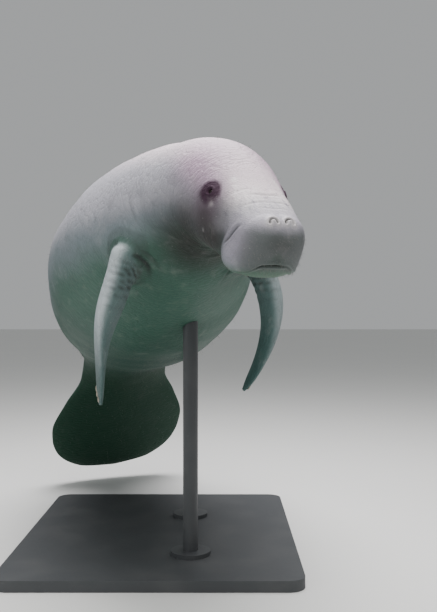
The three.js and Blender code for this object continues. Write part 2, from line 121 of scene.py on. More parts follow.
# Folds on both sides: width, depth, darkness of the painted shade in the fold, then points of distance back
# and degrees above the flank
FOLDS = [
    (19, 12, 0.75, [(143, 6), (152, -12), (158, -31), (156, -45)]),
    (26, 6, 0.2, [(395, 10), (400, -18), (375, -42)]),
    (30, 7, 0.2, [(560, 0), (545, -23), (500, -45)]),
    (4.6, 7.0, 1.0, [(128, -18), (119, -12), (108, -3), (98, 8), (84, 22), (68, 30)]),
    (4, 0.8, 0.1, [(82, 112), (84, 90), (88, 70), (90, 58)]),
    (4, 1.1, 0.2, [(108, 104), (112, 84), (113, 60), (124, 40)]),
    (5, 1.5, 0.25, [(149, 112), (144, 92), (147, 74), (150, 62)]),
    (5, 0.9, 0.1, [(172, 80), (178, 58), (190, 36)]),
    (6, 2.6, 0.5, [(186, 2), (196, -14), (198, -34), (190, -52)]),
    (6, 2.2, 0.4, [(222, -6), (236, -26), (238, -48), (226, -66)]),
    (6, 3.2, 0.5, [(286, -30), (292, -48), (280, -66), (272, -125)]),
    (7, 3.2, 0.5, [(330, -34), (338, -50), (330, -68), (324, -125)]),
    (8, 4.2, 0.8, [(372, -26), (380, -46), (372, -66), (362, -125)]),
    (9, 5.0, 0.9, [(430, -18), (444, -44), (438, -68), (428, -125)]),
    (9, 8.0, 1.0, [(470, -36), (492, -61), (531, -78), (556, -125)]),
    (9, 3.0, 0.3, [(604, 12), (600, -8), (590, -22)]),
]

# Folds beside the flippers' roots, pressed once the flippers are joined on
ARMPIT_FOLDS = [
    (8, 8, [(737, -28), (700, -31), (680, -37), (686, -46), (722, -55), (790, -61)]),
    (8, 4, [(700, -66), (664, -52), (648, -40), (660, -26)]),
]

# Folds narrower than this have rolls beside them, placed and sized in parts of the fold's width
NARROW_FOLD = 15
ROLL_PLACE, ROLL_WIDTH = 2.1, 0.9
ROLL_SHARE, ARMPIT_ROLL_SHARE = 0.3, 0.35
FOLD_FADE = 2.6
# Painted shade in the armpits' folds, for each millimetre of their depth
ARMPIT_DARKNESS = 0.18
ARMPIT_REACH = 300

# Marks of colour on both sides: x, distance back, z, reach, share
# SHADED is painted shade on the cheeks, throat, round the eyes and on the muzzle's front, with one small
# dark speck of the skin's own
SHADED = [
    (126, 232, -4, 60, 0.93),
    (112, 214, -66, 64, 0.97),
    (108, 182, -44, 48, 0.97),
    (121, 264, 56, 26, 0.97),
    (104, 150, 64, 50, 0.4),
    (112, 192, 44, 44, 0.5),
    (140, 312, -30, 74, 0.6),
    (128, 320, -80, 84, 0.85),
    (118, 341, -97, 6, 0.9),
    (70, 400, -140, 115, 0.9),
    (130, 450, -120, 90, 0.5),
    (60, 520, -165, 105, 0.85),
    (15, 600, -180, 90, 0.55),
    (10, 4, 20, 34, 0.4),
]
BLUSHED = [
    (126, 361, 114, 70, 0.8),
    (122, 300, 96, 50, 0.5),
    (119, 245, 74, 60, 0.8),
    (126, 232, 22, 40, 0.7),
    (64, 372, 150, 100, 0.45),
    (100, 70, 10, 60, 0.15),
]
PALE = [
    (121, 219, 48, 8, 0.25),
    (66, 227, 121, 11, 0.8),
    (70, 204, 114, 10, 0.7),
    (74, 178, 103, 12, 0.8),
    (124, 224, -34, 4, 0.5),
    # The last two are painted light on the top of the bridge between the eyes and the nose
    (52, 142, 105, 55, 0.45),
    (30, 120, 108, 60, 0.4),
]

# Eyes: their place, how deep the ball sits, the lids' ring and the socket round it
EYE_BACK, EYE_HEIGHT = 245, 73
EYE_SINK = 7.5
LID_AWAY, LID_WIDTH, LID_RISE = 11.5, 4, 5.2
SOCKET_START, SOCKET_WIDTH, SOCKET_DEPTH = 3, 6, 11
FAR_FROM_EYE = 400

# Nostrils: crescents on the roof of the muzzle
NOSTRIL_X, NOSTRIL_BACK = 24, 27
NOSTRIL_WIDTH, NOSTRIL_DEPTH = 11, 9
SLIT_WIDTH, SLIT_DEPTH = 2.7, 6.5
RIM_AWAY, RIM_WIDTH, RIM_RISE = 6.5, 3.2, 2.4

# The mouth's groove and the lips rolled above and below it
GROOVE_WIDTH, GROOVE_DEPTH = 3.2, 10
LIP_AWAY, LIP_THICK, LIP_RISE = 10, 6, 2.2

# Slow swells of loose skin
RIPPLE_DEPTH = 0.8

# Flippers, with distances along the limb as parts of its length
FLIPPER_LENGTH = 533
FLIPPER_ROOT = (210, 711, -121)
FLIPPER_INNER = (110, 706, -105)
ROOT_RISE = -0.55
FLIPPER_INNER_END = -0.2
FLIPPER_SECTIONS = [
    (0, 82, 53),
    (0.15, 80, 46),
    (0.35, 76, 42),
    (0.6, 84, 26),
    (0.8, 70, 15),
    (0.93, 48, 10),
    (1, 12, 5),
]
FLIPPER_COURSES = {
    -1: [(0, -0.24, -0.05), (0.3, -0.34, -0.06), (0.65, -0.1, 0.1), (1, 0.03, 0.08)],
    1: [(0, 1.02, -0.05), (0.3, 0.28, -0.1), (0.65, -0.31, -0.02), (1, -0.66, 0.06)],
}
CHORD_TURNS = {-1: (9, -13), 1: (9, 9)}
FLIPPER_WRINKLES = [
    (0.07, 3.0),
    (0.115, 5.0),
    (0.15, 6.0),
    (0.2, 4.0),
    (0.245, 6.0),
    (0.3, 3.4),
    (0.37, 2.0),
]
NAILS = [(0.955, -0.45), (0.925, -0.05), (0.9, 0.38)]
NAIL_SIZES = (8, 11, 3.2)
NAIL_RIDGE, NAIL_RIDGE_TURNS = 0.22, 22

# Rounding of the flippers' roots: reach over the skin, rounds, and the share moved in each round
ROOT_REACH, ROOT_ROUNDS, ROOT_SHARE = 78.0, 260, 0.6
ROOT_SPREADS = 60
JOINT_STEP = 0.2

# Hairs, in metres: thickness, how deep the root is sunk, and the sides and rings of each
BRISTLE_RADIUS, HAIR_RADIUS, HAIR_SINK = 0.00042, 0.00028, 0.0015
HAIR_SIDES, HAIR_RINGS = 4, 5
HAIR_PATCH = 0.003

# Stage, in metres
FLOOR_HALF, FLOOR_POINTS = 30, 9
CAMERA_PLACE = (0.24, -3.33, 0.97)
SENSOR = 36.0

# Nodes of flesh that the one skin stands for
FLESH = [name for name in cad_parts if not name.startswith(("eye_", "nail_", "stand_"))]

# Curves and the straight body


def monotone(rows, at):
    """Monotone cubic through rows: inner slopes are harmonic means, and both ends are held level."""
    rows = np.asarray(rows, float)
    x, y = rows[:, 0], rows[:, 1:]
    step = np.diff(x)[:, None]
    rise = np.diff(y, axis=0) / step
    before, after = rise[:-1], rise[1:]
    alike = before * after > 0
    first, second = 2 * step[1:] + step[:-1], step[1:] + 2 * step[:-1]
    share = first / np.where(alike, before, 1) + second / np.where(alike, after, 1)
    inner = np.where(alike, (first + second) / np.where(alike, share, 1), 0)
    slope = np.vstack([rise[:1], inner, rise[-1:]])
    at = np.clip(np.asarray(at, float), x[0], x[-1])
    k = np.clip(np.searchsorted(x, at, side="right") - 1, 0, len(x) - 2)
    t = ((at - x[k]) / step[k, 0])[..., None]
    start = (2 * t**3 - 3 * t**2 + 1) * y[k] + (t**3 - 2 * t**2 + t) * step[k] * slope[k]
    end = (3 * t**2 - 2 * t**3) * y[k + 1] + (t**3 - t**2) * step[k] * slope[k + 1]
    return start + end


def smooth(t):
    """Eased step from 0 to 1: 3t squared less 2t cubed, held level outside."""
    t = np.clip(t, 0, 1)
    return t * t * (3 - 2 * t)


def unit(v):
    """Vectors made one long."""
    return v / np.maximum(np.linalg.norm(v, axis=-1, keepdims=True), 1e-12)


def headings(back):
    """Forward, left and up of the spine, from its turn, pitch and roll at each distance back."""
    yaw, pitch, roll = np.moveaxis(np.radians(monotone(BENDS, back)), -1, 0)
    forward = np.stack([np.sin(yaw) * np.cos(pitch), -np.cos(yaw) * np.cos(pitch), np.sin(pitch)], -1)
    level = unit(np.cross((0, 0, 1), forward))
    upright = np.cross(forward, level)
    left = level * np.cos(roll)[..., None] + upright * np.sin(roll)[..., None]
    return forward, left, upright * np.cos(roll)[..., None] - level * np.sin(roll)[..., None]


STATION_BACKS = np.arange(0, LENGTH + 1, STATION_STEP)
STATION_AXES = headings(STATION_BACKS)
STATION_MEANS = (STATION_AXES[0][1:] + STATION_AXES[0][:-1]) / 2
STATION_PLACES = np.vstack([np.zeros((1, 3)), np.cumsum(-STATION_STEP * STATION_MEANS, axis=0)])
STATION_PLACES = STATION_PLACES + np.array(EYE_STATION_PLACE) - STATION_PLACES[EYE_STATION]


def bend(points):
    """Points (x, back, z) of the straight body set beside the bent spine at their distance back."""
    back = points[..., 1]

    def read(rows):
        return np.stack([np.interp(back, STATION_BACKS, rows[:, i]) for i in range(3)], -1)

    forward, left, up = (read(rows) for rows in STATION_AXES)
    beyond = (np.clip(back, 0, LENGTH) - back)[..., None]
    place = read(STATION_PLACES) + forward * beyond
    return place + left * points[..., :1] + up * points[..., 2:]


def section(back):
    """Half width, height above, depth below and squareness, drawn in at the snout and the tail's edge."""
    snout = np.clip(back / SNOUT_CAP, 0, 1)
    tail = np.clip((back - LENGTH + TAIL_CAP) / TAIL_CAP, 0, 1)
    draw = (1 - (1 - snout) ** 2) ** SNOUT_BLUNTNESS * np.sqrt(1 - tail**2)
    half, above, below, square = np.moveaxis(monotone(SECTIONS, back), -1, 0)
    return half * draw, above * draw, below * draw, square


def on_section(angle, back):
    """The section's superellipse in polar form: (|cos/half|^s + |sin/height|^s)^(-1/s) from the spine."""
    half, above, below, square = section(back)
    height = np.where(np.sin(angle) > 0, above, below)
    drawn = np.maximum(half, 1e-6), np.maximum(height, 1e-6)
    inverse = np.abs(np.cos(angle) / drawn[0]) ** square + np.abs(np.sin(angle) / drawn[1]) ** square
    reach = inverse ** (-1 / square) * (half > 0)
    return np.stack([reach * np.cos(angle), back + 0 * reach, reach * np.sin(angle)], -1)


def mouth_height(x):
    """Height of the mouth's line across the snout: level at the middle, dropping under the lip pads."""
    return MOUTH_HEIGHT - LIP_DROP * smooth((np.abs(x) - LIP_START) / LIP_WIDTH)


def outward(points):
    """Away from the spine, and ahead of the muzzle's middle also away from that."""
    centre = np.zeros_like(points)
    centre[..., 1] = np.maximum(points[..., 1], MUZZLE_MIDDLE)
    return unit(points - centre)


def line_on_skin(line, count=24):
    """Points along a line of (distance back, degrees above the flank), eased between its own points."""
    line = np.asarray(line, float)
    rows = np.column_stack([np.linspace(0, 1, len(line)), line])
    back, degrees = monotone(rows, np.linspace(0, 1, count)).T
    return on_section(np.radians(degrees), back)


def mirrored(points):
    """The same points on the side where x is over 0."""
    return np.concatenate([np.abs(points[..., :1]), points[..., 1:]], axis=-1)


def away_from_pieces(at, line):
    """Least distance to the straight pieces between a line's points, and how far along it that lies."""
    least, reached = np.full(at.shape[:-1], 1e9), np.zeros(at.shape[:-1])
    for k, (a, b) in enumerate(zip(line[:-1], line[1:])):
        along = b - a
        share = np.clip((at - a) @ along / max(along @ along, 1e-9), 0, 1)
        gap = np.linalg.norm(at - a - share[..., None] * along, axis=-1)
        reached = np.where(gap < least, (k + share) / (len(line) - 1), reached)
        least = np.minimum(least, gap)
    return least, reached


def groove(points, line, width):
    """A fold's trench and the rolls beside it, bell curves across it that fade towards its ends."""
    away, reached = away_from_pieces(points, line)
    fade = smooth(np.minimum(reached, 1 - reached) * FOLD_FADE)
    return near(away, width) * fade, near(away - ROLL_PLACE * width, ROLL_WIDTH * width) * fade


def near(distance, reach):
    """Bell curve: 1 at distance 0, falling to nothing a few reaches away."""
    return np.exp(-((distance / reach) ** 2))


def eye_place(side):
    """The eye's place on the plain flank, in the straight body."""
    half, above, _, square = section(np.float64(EYE_BACK))
    x = half * (1 - (EYE_HEIGHT / above) ** square) ** (1 / square)
    return np.array((side * x, EYE_BACK, EYE_HEIGHT))


def nostril_line(side):
    """The crescent of a nostril: half an ellipse on the muzzle's roof."""
    turn = np.linspace(0, np.pi, 12)
    x = NOSTRIL_X + NOSTRIL_WIDTH * np.cos(turn)
    back = NOSTRIL_BACK + NOSTRIL_DEPTH * np.sin(turn)
    half, above, _, square = section(back)
    return np.stack([side * x, back, above * (1 - (x / half) ** square) ** (1 / square)], -1)


def relief(points):
    """How far the skin stands out: swellings, folds with rolled edges, and the lower lip's setback."""
    height = np.zeros(points.shape[:-1])
    for x, back, z, reach, rise in SWELLINGS:
        height += rise * near(np.linalg.norm(mirrored(points) - (x, back, z), axis=-1), reach)
    for width, depth, _, line in FOLDS:
        if width < NARROW_FOLD:
            trench, rolls = groove(mirrored(points), line_on_skin(line), width)
            height += ROLL_SHARE * depth * rolls - depth * trench
        else:
            height -= depth * near(away_from_pieces(mirrored(points), line_on_skin(line))[0], width)
    under = smooth((mouth_height(points[..., 0]) - points[..., 2]) / LOWER_LIP_EDGE)
    ahead = 1 - smooth((points[..., 1] - SETBACK_FADE[0]) / SETBACK_FADE[1])
    return height - LOWER_LIP_SETBACK * under * ahead


def marked(points, marks):
    """Soft round marks laid over one another: each leaves one less its share of what is clear."""
    clear = np.ones(points.shape[:-1])
    for x, back, z, reach, share in marks:
        away = np.linalg.norm(mirrored(points) - (x, back, z), axis=-1)
        clear *= 1 - share * near(away, reach)
    return 1 - clear


def carving(points):
    """The mouth, nostrils and lids cut into the skin, and a mark of how deep each place lies."""
    x, back, z = np.moveaxis(points, -1, 0)
    ahead = 1 - smooth((back - MOUTH_CORNER + 12) / 18)
    gap = z - mouth_height(x)
    sideways = smooth((np.abs(x + 14) - 24) / 28)
    mouth = near(gap, GROOVE_WIDTH) * ahead * (1 - 0.6 * sideways)
    lips = (near(gap - LIP_AWAY, LIP_THICK) + 0.7 * near(gap + LIP_AWAY, LIP_THICK)) * ahead
    nostril = away_from_pieces(mirrored(points), nostril_line(1))[0]
    slit, rim = near(nostril, SLIT_WIDTH), near(nostril - RIM_AWAY, RIM_WIDTH)
    aside = mirrored(points) - eye_place(1)
    eye = np.linalg.norm(aside, axis=-1)
    lids = LID_RISE * near(eye - LID_AWAY, LID_WIDTH)
    socket = SOCKET_DEPTH * (1 - smooth((eye - SOCKET_START) / SOCKET_WIDTH))
    turn = np.arctan2(aside[..., 2], aside[..., 1])
    crows_feet = 0.5 * np.sin(9 * turn + 1.7 * np.sin(2 * turn) + 0.15 * eye) * near(eye - 23, 8)
    rings = 0.7 * np.cos(eye * 2 * np.pi / 7.5 + 0.8 * np.sin(3 * turn)) * near(eye - 25, 9)
    height = LIP_RISE * lips - GROOVE_DEPTH * mouth - SLIT_DEPTH * slit + RIM_RISE * rim
    height = height + (lids - socket) + crows_feet + rings
    return height, mouth * (1 - 0.75 * sideways), slit, near(nostril, 11), eye


def ripples(points):
    """Slow swells of loose skin round the trunk: three crossed waves that fade at the head."""
    x, back, z = np.moveaxis(points, -1, 0)
    turn = np.arctan2(z, np.abs(x))
    wave = np.sin(back / 33 + 2.1 * np.sin(2 * turn)) + 0.7 * np.sin(back / 21 - 3 * turn + 1)
    wave += 0.8 * np.sin(back / 58 + 5 * turn)
    return RIPPLE_DEPTH * wave * smooth((back - 260) / 300) * (1 - 0.6 * smooth((back - 2200) / 300))


def body_points(angle, back):
    """The whole animal but its flippers: sections raised by the relief and carving, then bent."""
    plain = on_section(angle, back)
    carved, *marks = carving(plain)
    raised = plain + outward(plain) * (relief(plain) + carved + ripples(plain))[..., None]
    return plain, bend(raised), *marks


# Flippers


def limb(side, t):
    """Centre, chord, outer side, half chord and half thickness of a flipper at parts of its length."""
    course = FLIPPER_COURSES[side]
    steps = np.linspace(0, 1, 401)

    def direction(part):
        across, away = np.moveaxis(monotone(course, part), -1, 0)
        return unit(np.stack([across, away, -np.ones_like(across)], -1))

    travelled = np.cumsum(direction((steps[1:] + steps[:-1]) / 2), axis=0) / 400 * FLIPPER_LENGTH
    travelled = np.vstack([np.zeros((1, 3)), travelled])
    mirror = np.array((side, 1, 1))
    root, inner = bend(np.array(FLIPPER_ROOT) * mirror), bend(np.array(FLIPPER_INNER) * mirror)
    within = np.maximum(t / FLIPPER_INNER_END, 0)[..., None]
    path = np.stack([np.interp(np.maximum(t, 0), steps, travelled[:, i]) for i in range(3)], -1)
    centre = root + within * (inner - root) + path
    start = direction(np.maximum(t, 0))
    along = unit(start + within * (unit(root - inner) - start))
    first, last = CHORD_TURNS[side]
    turned = np.radians(first + (last - first) * smooth((t - 0.25) / 0.65))
    chord = np.stack([-side * np.sin(turned), np.cos(turned), 0 * turned], -1)
    chord = unit(chord - along * np.sum(along * chord, axis=-1, keepdims=True))
    outer = np.cross(along, chord) * side
    half, thick = np.moveaxis(monotone(FLIPPER_SECTIONS, t), -1, 0)
    return centre, chord, outer, half[..., None], thick[..., None]


def wrinkle(t, turn, place):
    """A wandering line across the arm, deepest on its inner rear side."""
    wander = 0.012 * np.sin(2 * turn + 9 * place) + 0.02 * np.abs(np.cos(turn))
    return near(t - place - wander, 0.0085) * (0.55 - 0.45 * np.sin(turn - 0.5))


def flipper_points(side, t, turn):
    """Ellipses of chord by thickness round the limb's centre, with wrinkles bent across the arm."""
    centre, chord, outer, half, thick = limb(side, t)
    sunk = np.zeros_like(turn * t)
    for place, depth in FLIPPER_WRINKLES:
        sunk = sunk + depth * wrinkle(t, turn, place)
    sunk = sunk[..., None]
    across = chord * (half - sunk) * np.cos(turn)[..., None]
    return centre + across + outer * (thick - sunk) * np.sin(turn)[..., None]


# Meshes from arrays


def new_mesh(name, points, faces):
    """A mesh object from points in millimetres and a list of face arrays, one row of corners a face."""
    mesh = bpy.data.meshes.new(name)
    corners = np.concatenate([f.ravel() for f in faces])
    sizes = np.concatenate([np.full(len(f), f.shape[1]) for f in faces])
    starts = np.concatenate([[0], np.cumsum(sizes)[:-1]])
    mesh.vertices.add(len(points))
    mesh.vertices.foreach_set("co", (points * MM).astype(np.float32).ravel())
    mesh.loops.add(len(corners))
    mesh.loops.foreach_set("vertex_index", corners.astype(np.int32))
    mesh.polygons.add(len(sizes))
    mesh.polygons.foreach_set("loop_start", starts.astype(np.int32))
    mesh.polygons.foreach_set("use_smooth", np.ones(len(sizes), bool))
    mesh.update(calc_edges=True)
    mesh.validate()
    made = bpy.data.objects.new(name, mesh)
    bpy.context.scene.collection.objects.link(made)
    return made


def grid_faces(rings, columns, first=0):
    """Quads of a tube of rings, each joined to the next and closed round."""
    index = first + np.arange(rings * columns).reshape(rings, columns)
    near_ring, far_ring = index[:-1], index[1:]
    turned = np.roll(index, -1, axis=1)
    return np.stack([near_ring, far_ring, turned[1:], turned[:-1]], -1).reshape(-1, 4)


def fan_faces(ring, pole, inward):
    """Triangles from a ring's vertices to a pole."""
    following = np.roll(ring, -1)
    ends = (following, ring) if inward else (ring, following)
    return np.stack([*ends, np.full(len(ring), pole)], -1)


def tube_faces(rings, columns):
    """A closed tube: its rings, and a fan at each end to a pole; the poles are the last two vertices."""
    ring, count = np.arange(columns), rings * columns
    ends = fan_faces(ring, count, False), fan_faces(count - columns + ring, count + 1, True)
    return [grid_faces(rings, columns), *ends]


def facing_out(points, faces):
    """The same faces, turned over if the volume that they close comes out negative."""
    volume = 0.0
    for f in faces:
        a = points[f[:, 0]]
        for k in range(1, f.shape[1] - 1):
            volume += np.einsum("ij,ij->i", a, np.cross(points[f[:, k]], points[f[:, k + 1]])).sum()
    return faces if volume > 0 else [f[:, ::-1] for f in faces]


def set_field(made, name, values):
    """A number at each vertex, or a vector where the values are rows of three."""
    values = np.asarray(values, np.float32)
    kind, slot = ("FLOAT_VECTOR", "vector") if values.ndim == 2 else ("FLOAT", "value")
    field = made.data.attributes.get(name) or made.data.attributes.new(name, kind, "POINT")
    field.data.foreach_set(slot, values.ravel())


def values_of(items, name, width=1, kind=np.float32):
    """One property of all the items of a mesh, in rows where it holds more than one number."""
    values = np.zeros(len(items) * width, kind)
    items.foreach_get(name, values)
    return values.reshape(-1, width) if width > 1 else values


def get_field(made, name):
    """The values that set_field stored."""
    field = made.data.attributes[name]
    row = ("vector", 3) if field.data_type == "FLOAT_VECTOR" else ("value", 1)
    return values_of(field.data, *row)


def get_points(made):
    """Vertex places of an object, in metres."""
    return values_of(made.data.vertices, "co", 3).astype(float)


def set_points(made, points):
    """Moves the vertices to places in metres."""
    made.data.vertices.foreach_set("co", points.astype(np.float32).ravel())
    made.data.update()


def finish_piece(made, slot_name, material, *nodes):
    """Gives a piece its material and body, and hides the nodes that it stands for; the slot name is not
    used.
    """
    made.data.materials.clear()
    made.data.materials.append(material)
    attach(made, BODY)
    if nodes:
        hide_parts(*nodes)


# The skin

FINE_COLUMNS = 248
FINE_END = 860
RING_STRETCHES = [(60, 215, 60), (215, 275, 37), (275, 400, 31), (400, 640, 40), (640, FINE_END, 34)]
TRUNK_STRETCHES = [(FINE_END, 1300, 31), (1300, 2150, 50), (2150, 2970, 60)]
SNOUT_RINGS, TAIL_RINGS = 52, 12
FLIPPER_RINGS, FLIPPER_COLUMNS = 72, 52
MARKS = {"shaded": SHADED, "blushed": BLUSHED, "pale": PALE}
LIMB_FIELDS = ["limb", "reach", "palm"]
FACE_FIELDS = ["mouth", "nostril", "nostril_rim"]
FIELDS = ["straight", "eye", "fold", "rise", *LIMB_FIELDS, *FACE_FIELDS, *MARKS]


def column_angles():
    """Angles round the body, closer together at the eyes, nostrils and the corners of the mouth."""
    angle = np.linspace(0, 2 * np.pi, 2881)
    density = np.ones_like(angle)
    for degrees, reach, more in ((30, 16, 0.9), (80, 22, 0.3), (-38, 22, 0.4)):
        for centre in (np.radians(degrees), np.pi - np.radians(degrees)):
            away = (angle - centre + np.pi) % (2 * np.pi) - np.pi
            density += more * near(away, np.radians(reach))
    total = np.concatenate([[0], np.cumsum((density[1:] + density[:-1]) / 2)])
    return np.interp(np.linspace(0, total[-1], FINE_COLUMNS + 1)[:-1], total, angle)


def spread_angle(angle, back):
    """Angles of the trunk's columns, moved towards the edges where the sections grow flat."""
    half, above, below, square = section(back)
    height = np.where(np.sin(angle) > 0, above, below)
    across = half * np.sign(np.cos(angle)) * np.abs(np.cos(angle)) ** (2 / square)
    up = height * np.sign(np.sin(angle)) * np.abs(np.sin(angle)) ** (2 / square)
    turned = (np.arctan2(up, across) - angle + np.pi) % (2 * np.pi) - np.pi
    return angle + turned * smooth((back - 1000) / 500)


def stretches(rows):
    """Even distances along each stretch, its far end left to the next one."""
    return np.concatenate([np.linspace(a, b, n, endpoint=False) for a, b, n in rows])


def make_body():
    """The body's tube: fine rings to behind the shoulders, then half as many columns to the tail."""
    part = np.arange(1, SNOUT_RINGS) / SNOUT_RINGS
    snout = SNOUT_CAP * (1 - np.cos(part**1.3 * np.pi / 2))
    tail = LENGTH - TAIL_CAP * (1 - np.sin(np.arange(TAIL_RINGS) / TAIL_RINGS * np.pi / 2))
    fine_backs = np.concatenate([snout, stretches(RING_STRETCHES)])
    trunk_backs = np.concatenate([stretches(TRUNK_STRETCHES), tail])
    columns = column_angles()
    fine = np.meshgrid(columns, fine_backs)
    trunk = np.meshgrid(columns[::2], trunk_backs)
    trunk[0] = spread_angle(*trunk)
    ends = [np.zeros(2), np.array([0.0, LENGTH])]
    made_of = list(zip(*(body_points(*grid) for grid in (fine, trunk, ends))))
    plain, points = (np.concatenate([v.reshape(-1, 3) for v in values]) for values in made_of[:2])
    *marks, eye = (np.concatenate([v.ravel() for v in values]) for values in made_of[2:])
    fine_count, trunk_count = len(fine_backs) * FINE_COLUMNS, len(trunk_backs) * FINE_COLUMNS // 2
    last_fine = np.arange(fine_count - FINE_COLUMNS, fine_count)
    first_trunk = fine_count + np.arange(FINE_COLUMNS // 2)
    last_trunk = fine_count + np.arange(trunk_count - FINE_COLUMNS // 2, trunk_count)
    fine_side = [np.roll(last_fine, -2)[::2], last_fine[1::2], last_fine[::2]]
    joint = np.stack([*fine_side, first_trunk, np.roll(first_trunk, -1)], -1)
    nose, tip = fine_count + trunk_count, fine_count + trunk_count + 1
    faces = [
        grid_faces(len(fine_backs), FINE_COLUMNS),
        grid_faces(len(trunk_backs), FINE_COLUMNS // 2, fine_count),
        joint,
        fan_faces(np.arange(FINE_COLUMNS), nose, False),
        fan_faces(last_trunk, tip, True),
    ]
    made = new_mesh("skin", points, facing_out(points, faces))
    set_field(made, "straight", plain * MM)
    for name in LIMB_FIELDS:
        set_field(made, name, np.zeros(len(points)))
    for name, values in zip(FACE_FIELDS, marks):
        set_field(made, name, values)
    set_field(made, "eye", np.minimum(eye, FAR_FROM_EYE) * MM)
    # Painted shade in the folds, by each fold's darkness
    folds = np.zeros(len(points))
    for width, _, darkness, line in FOLDS:
        trench = groove(mirrored(plain), line_on_skin(line), width * 0.8)[0]
        folds = np.maximum(folds, darkness * trench)
    set_field(made, "fold", folds)
    set_field(made, "rise", plain[:, 2] / np.maximum(np.hypot(plain[:, 0], plain[:, 2]), 1))
    for name, places in MARKS.items():
        set_field(made, name, marked(plain, places))
    return made


def make_flipper(side):
    """A flipper's closed tube, with its straight places as if it hung down from its root."""
    part = np.linspace(0, 1, FLIPPER_RINGS + 2)[1:-1]
    t = FLIPPER_INNER_END + (1 - FLIPPER_INNER_END) * (1 - (1 - part) ** 1.25)
    turn = np.linspace(0, 2 * np.pi, FLIPPER_COLUMNS, endpoint=False)
    turn_grid, t_grid = np.meshgrid(turn, t)
    points = flipper_points(side, t_grid, turn_grid).reshape(-1, 3)
    tips = limb(side, np.array([FLIPPER_INNER_END, 1.0]))[0]
    points = np.vstack([points, tips])
    faces = facing_out(points, tube_faces(FLIPPER_RINGS, FLIPPER_COLUMNS))
    made = new_mesh(f"flipper_{side}", points, faces)
    half, thick = np.moveaxis(monotone(FLIPPER_SECTIONS, t_grid), -1, 0)
    across, along = side * thick * np.sin(turn_grid), half * np.cos(turn_grid)
    hung = np.stack([across, along, -t_grid * FLIPPER_LENGTH], -1)
    hung = np.vstack([hung.reshape(-1, 3), np.outer((FLIPPER_INNER_END, 1), (0, 0, -FLIPPER_LENGTH))])
    straight = hung + np.array(FLIPPER_ROOT) * (side, 1, 1)
    # Painted shade in the arm's wrinkles, kept in the fold field
    wrinkled = np.zeros_like(t_grid)
    for place, depth in FLIPPER_WRINKLES:
        wrinkled = np.maximum(wrinkled, wrinkle(t_grid, turn_grid, place) * min(1.7, depth / 3))
    set_field(made, "straight", straight * MM)
    set_field(made, "limb", np.ones(len(points)))
    set_field(made, "eye", np.full(len(points), FAR_FROM_EYE * MM))
    set_field(made, "fold", np.append(wrinkled.ravel(), [0, 0]))
    set_field(made, "reach", np.append(t_grid.ravel(), [0, 1]))
    set_field(made, "palm", np.append(-np.sin(turn_grid).ravel(), [0, 0]))
    set_field(made, "rise", np.full(len(points), ROOT_RISE))
    for name in (*FACE_FIELDS, *MARKS):
        set_field(made, name, np.zeros(len(points)))
    return made


def skin_edges(skin):
    """Both ends of every edge."""
    return values_of(skin.data.edges, "vertices", 2, np.int32).T


def neighbour_mean(values, a, b):
    """The mean of each vertex's neighbours, for rows of values."""
    count = len(values)
    degree = np.maximum(np.bincount(a, minlength=count) + np.bincount(b, minlength=count), 1)
    sums = [np.bincount(a, column[b], count) + np.bincount(b, column[a], count) for column in values.T]
    return np.stack(sums, -1) / degree[:, None]


def join_flippers(skin, flippers):
    """One closed surface of body and flippers; new vertices of the joint take their neighbours' fields."""
    bpy.context.view_layer.objects.active = skin
    for made in (skin, *flippers):
        set_field(made, "known", np.ones(len(made.data.vertices)))
    for made in flippers:
        union = skin.modifiers.new("union", "BOOLEAN")
        union.operation = "UNION"
        union.solver = "MANIFOLD"
        union.object = made
        bpy.ops.object.modifier_apply(modifier=union.name)
        bpy.data.objects.remove(made)
    a, b = skin_edges(skin)
    known = get_field(skin, "known")[:, None].astype(float)
    fields = {name: get_field(skin, name).reshape(len(known), -1).astype(float) for name in FIELDS}
    for _ in range(3):
        share = neighbour_mean(known, a, b)
        new = (known[:, 0] < 0.5) & (share[:, 0] > 0)
        for name, values in fields.items():
            values[new] = (neighbour_mean(values * known, a, b) / np.maximum(share, 1e-9))[new]
        known[new] = 1
    for name, values in fields.items():
        set_field(skin, name, values if values.shape[1] == 3 else values[:, 0])


def soften_roots(skin):
    """Rounds the skin where flipper meets body: vertices near the joint move to their neighbours' mean."""
    a, b = skin_edges(skin)
    points, limb_share = get_points(skin), get_field(skin, "limb")
    lengths = np.linalg.norm(points[a] - points[b], axis=1)
    at_joint = np.abs(limb_share[a] - limb_share[b]) > JOINT_STEP
    away = np.full(len(points), 1e9)
    away[a[at_joint]] = away[b[at_joint]] = 0
    for _ in range(ROOT_SPREADS):
        np.minimum.at(away, a, away[b] + lengths)
        np.minimum.at(away, b, away[a] + lengths)
    part = smooth(away / (ROOT_REACH * MM))
    weight = (1 - part)[:, None]
    close = (weight[a, 0] > 0) | (weight[b, 0] > 0)
    a, b = a[close], b[close]
    for _ in range(ROOT_ROUNDS):
        points += ROOT_SHARE * weight * (neighbour_mean(points, a, b) - points)
    set_points(skin, points)
    set_field(skin, "limb", 0.5 + np.where(limb_share > 0.5, 0.5, -0.5) * part)


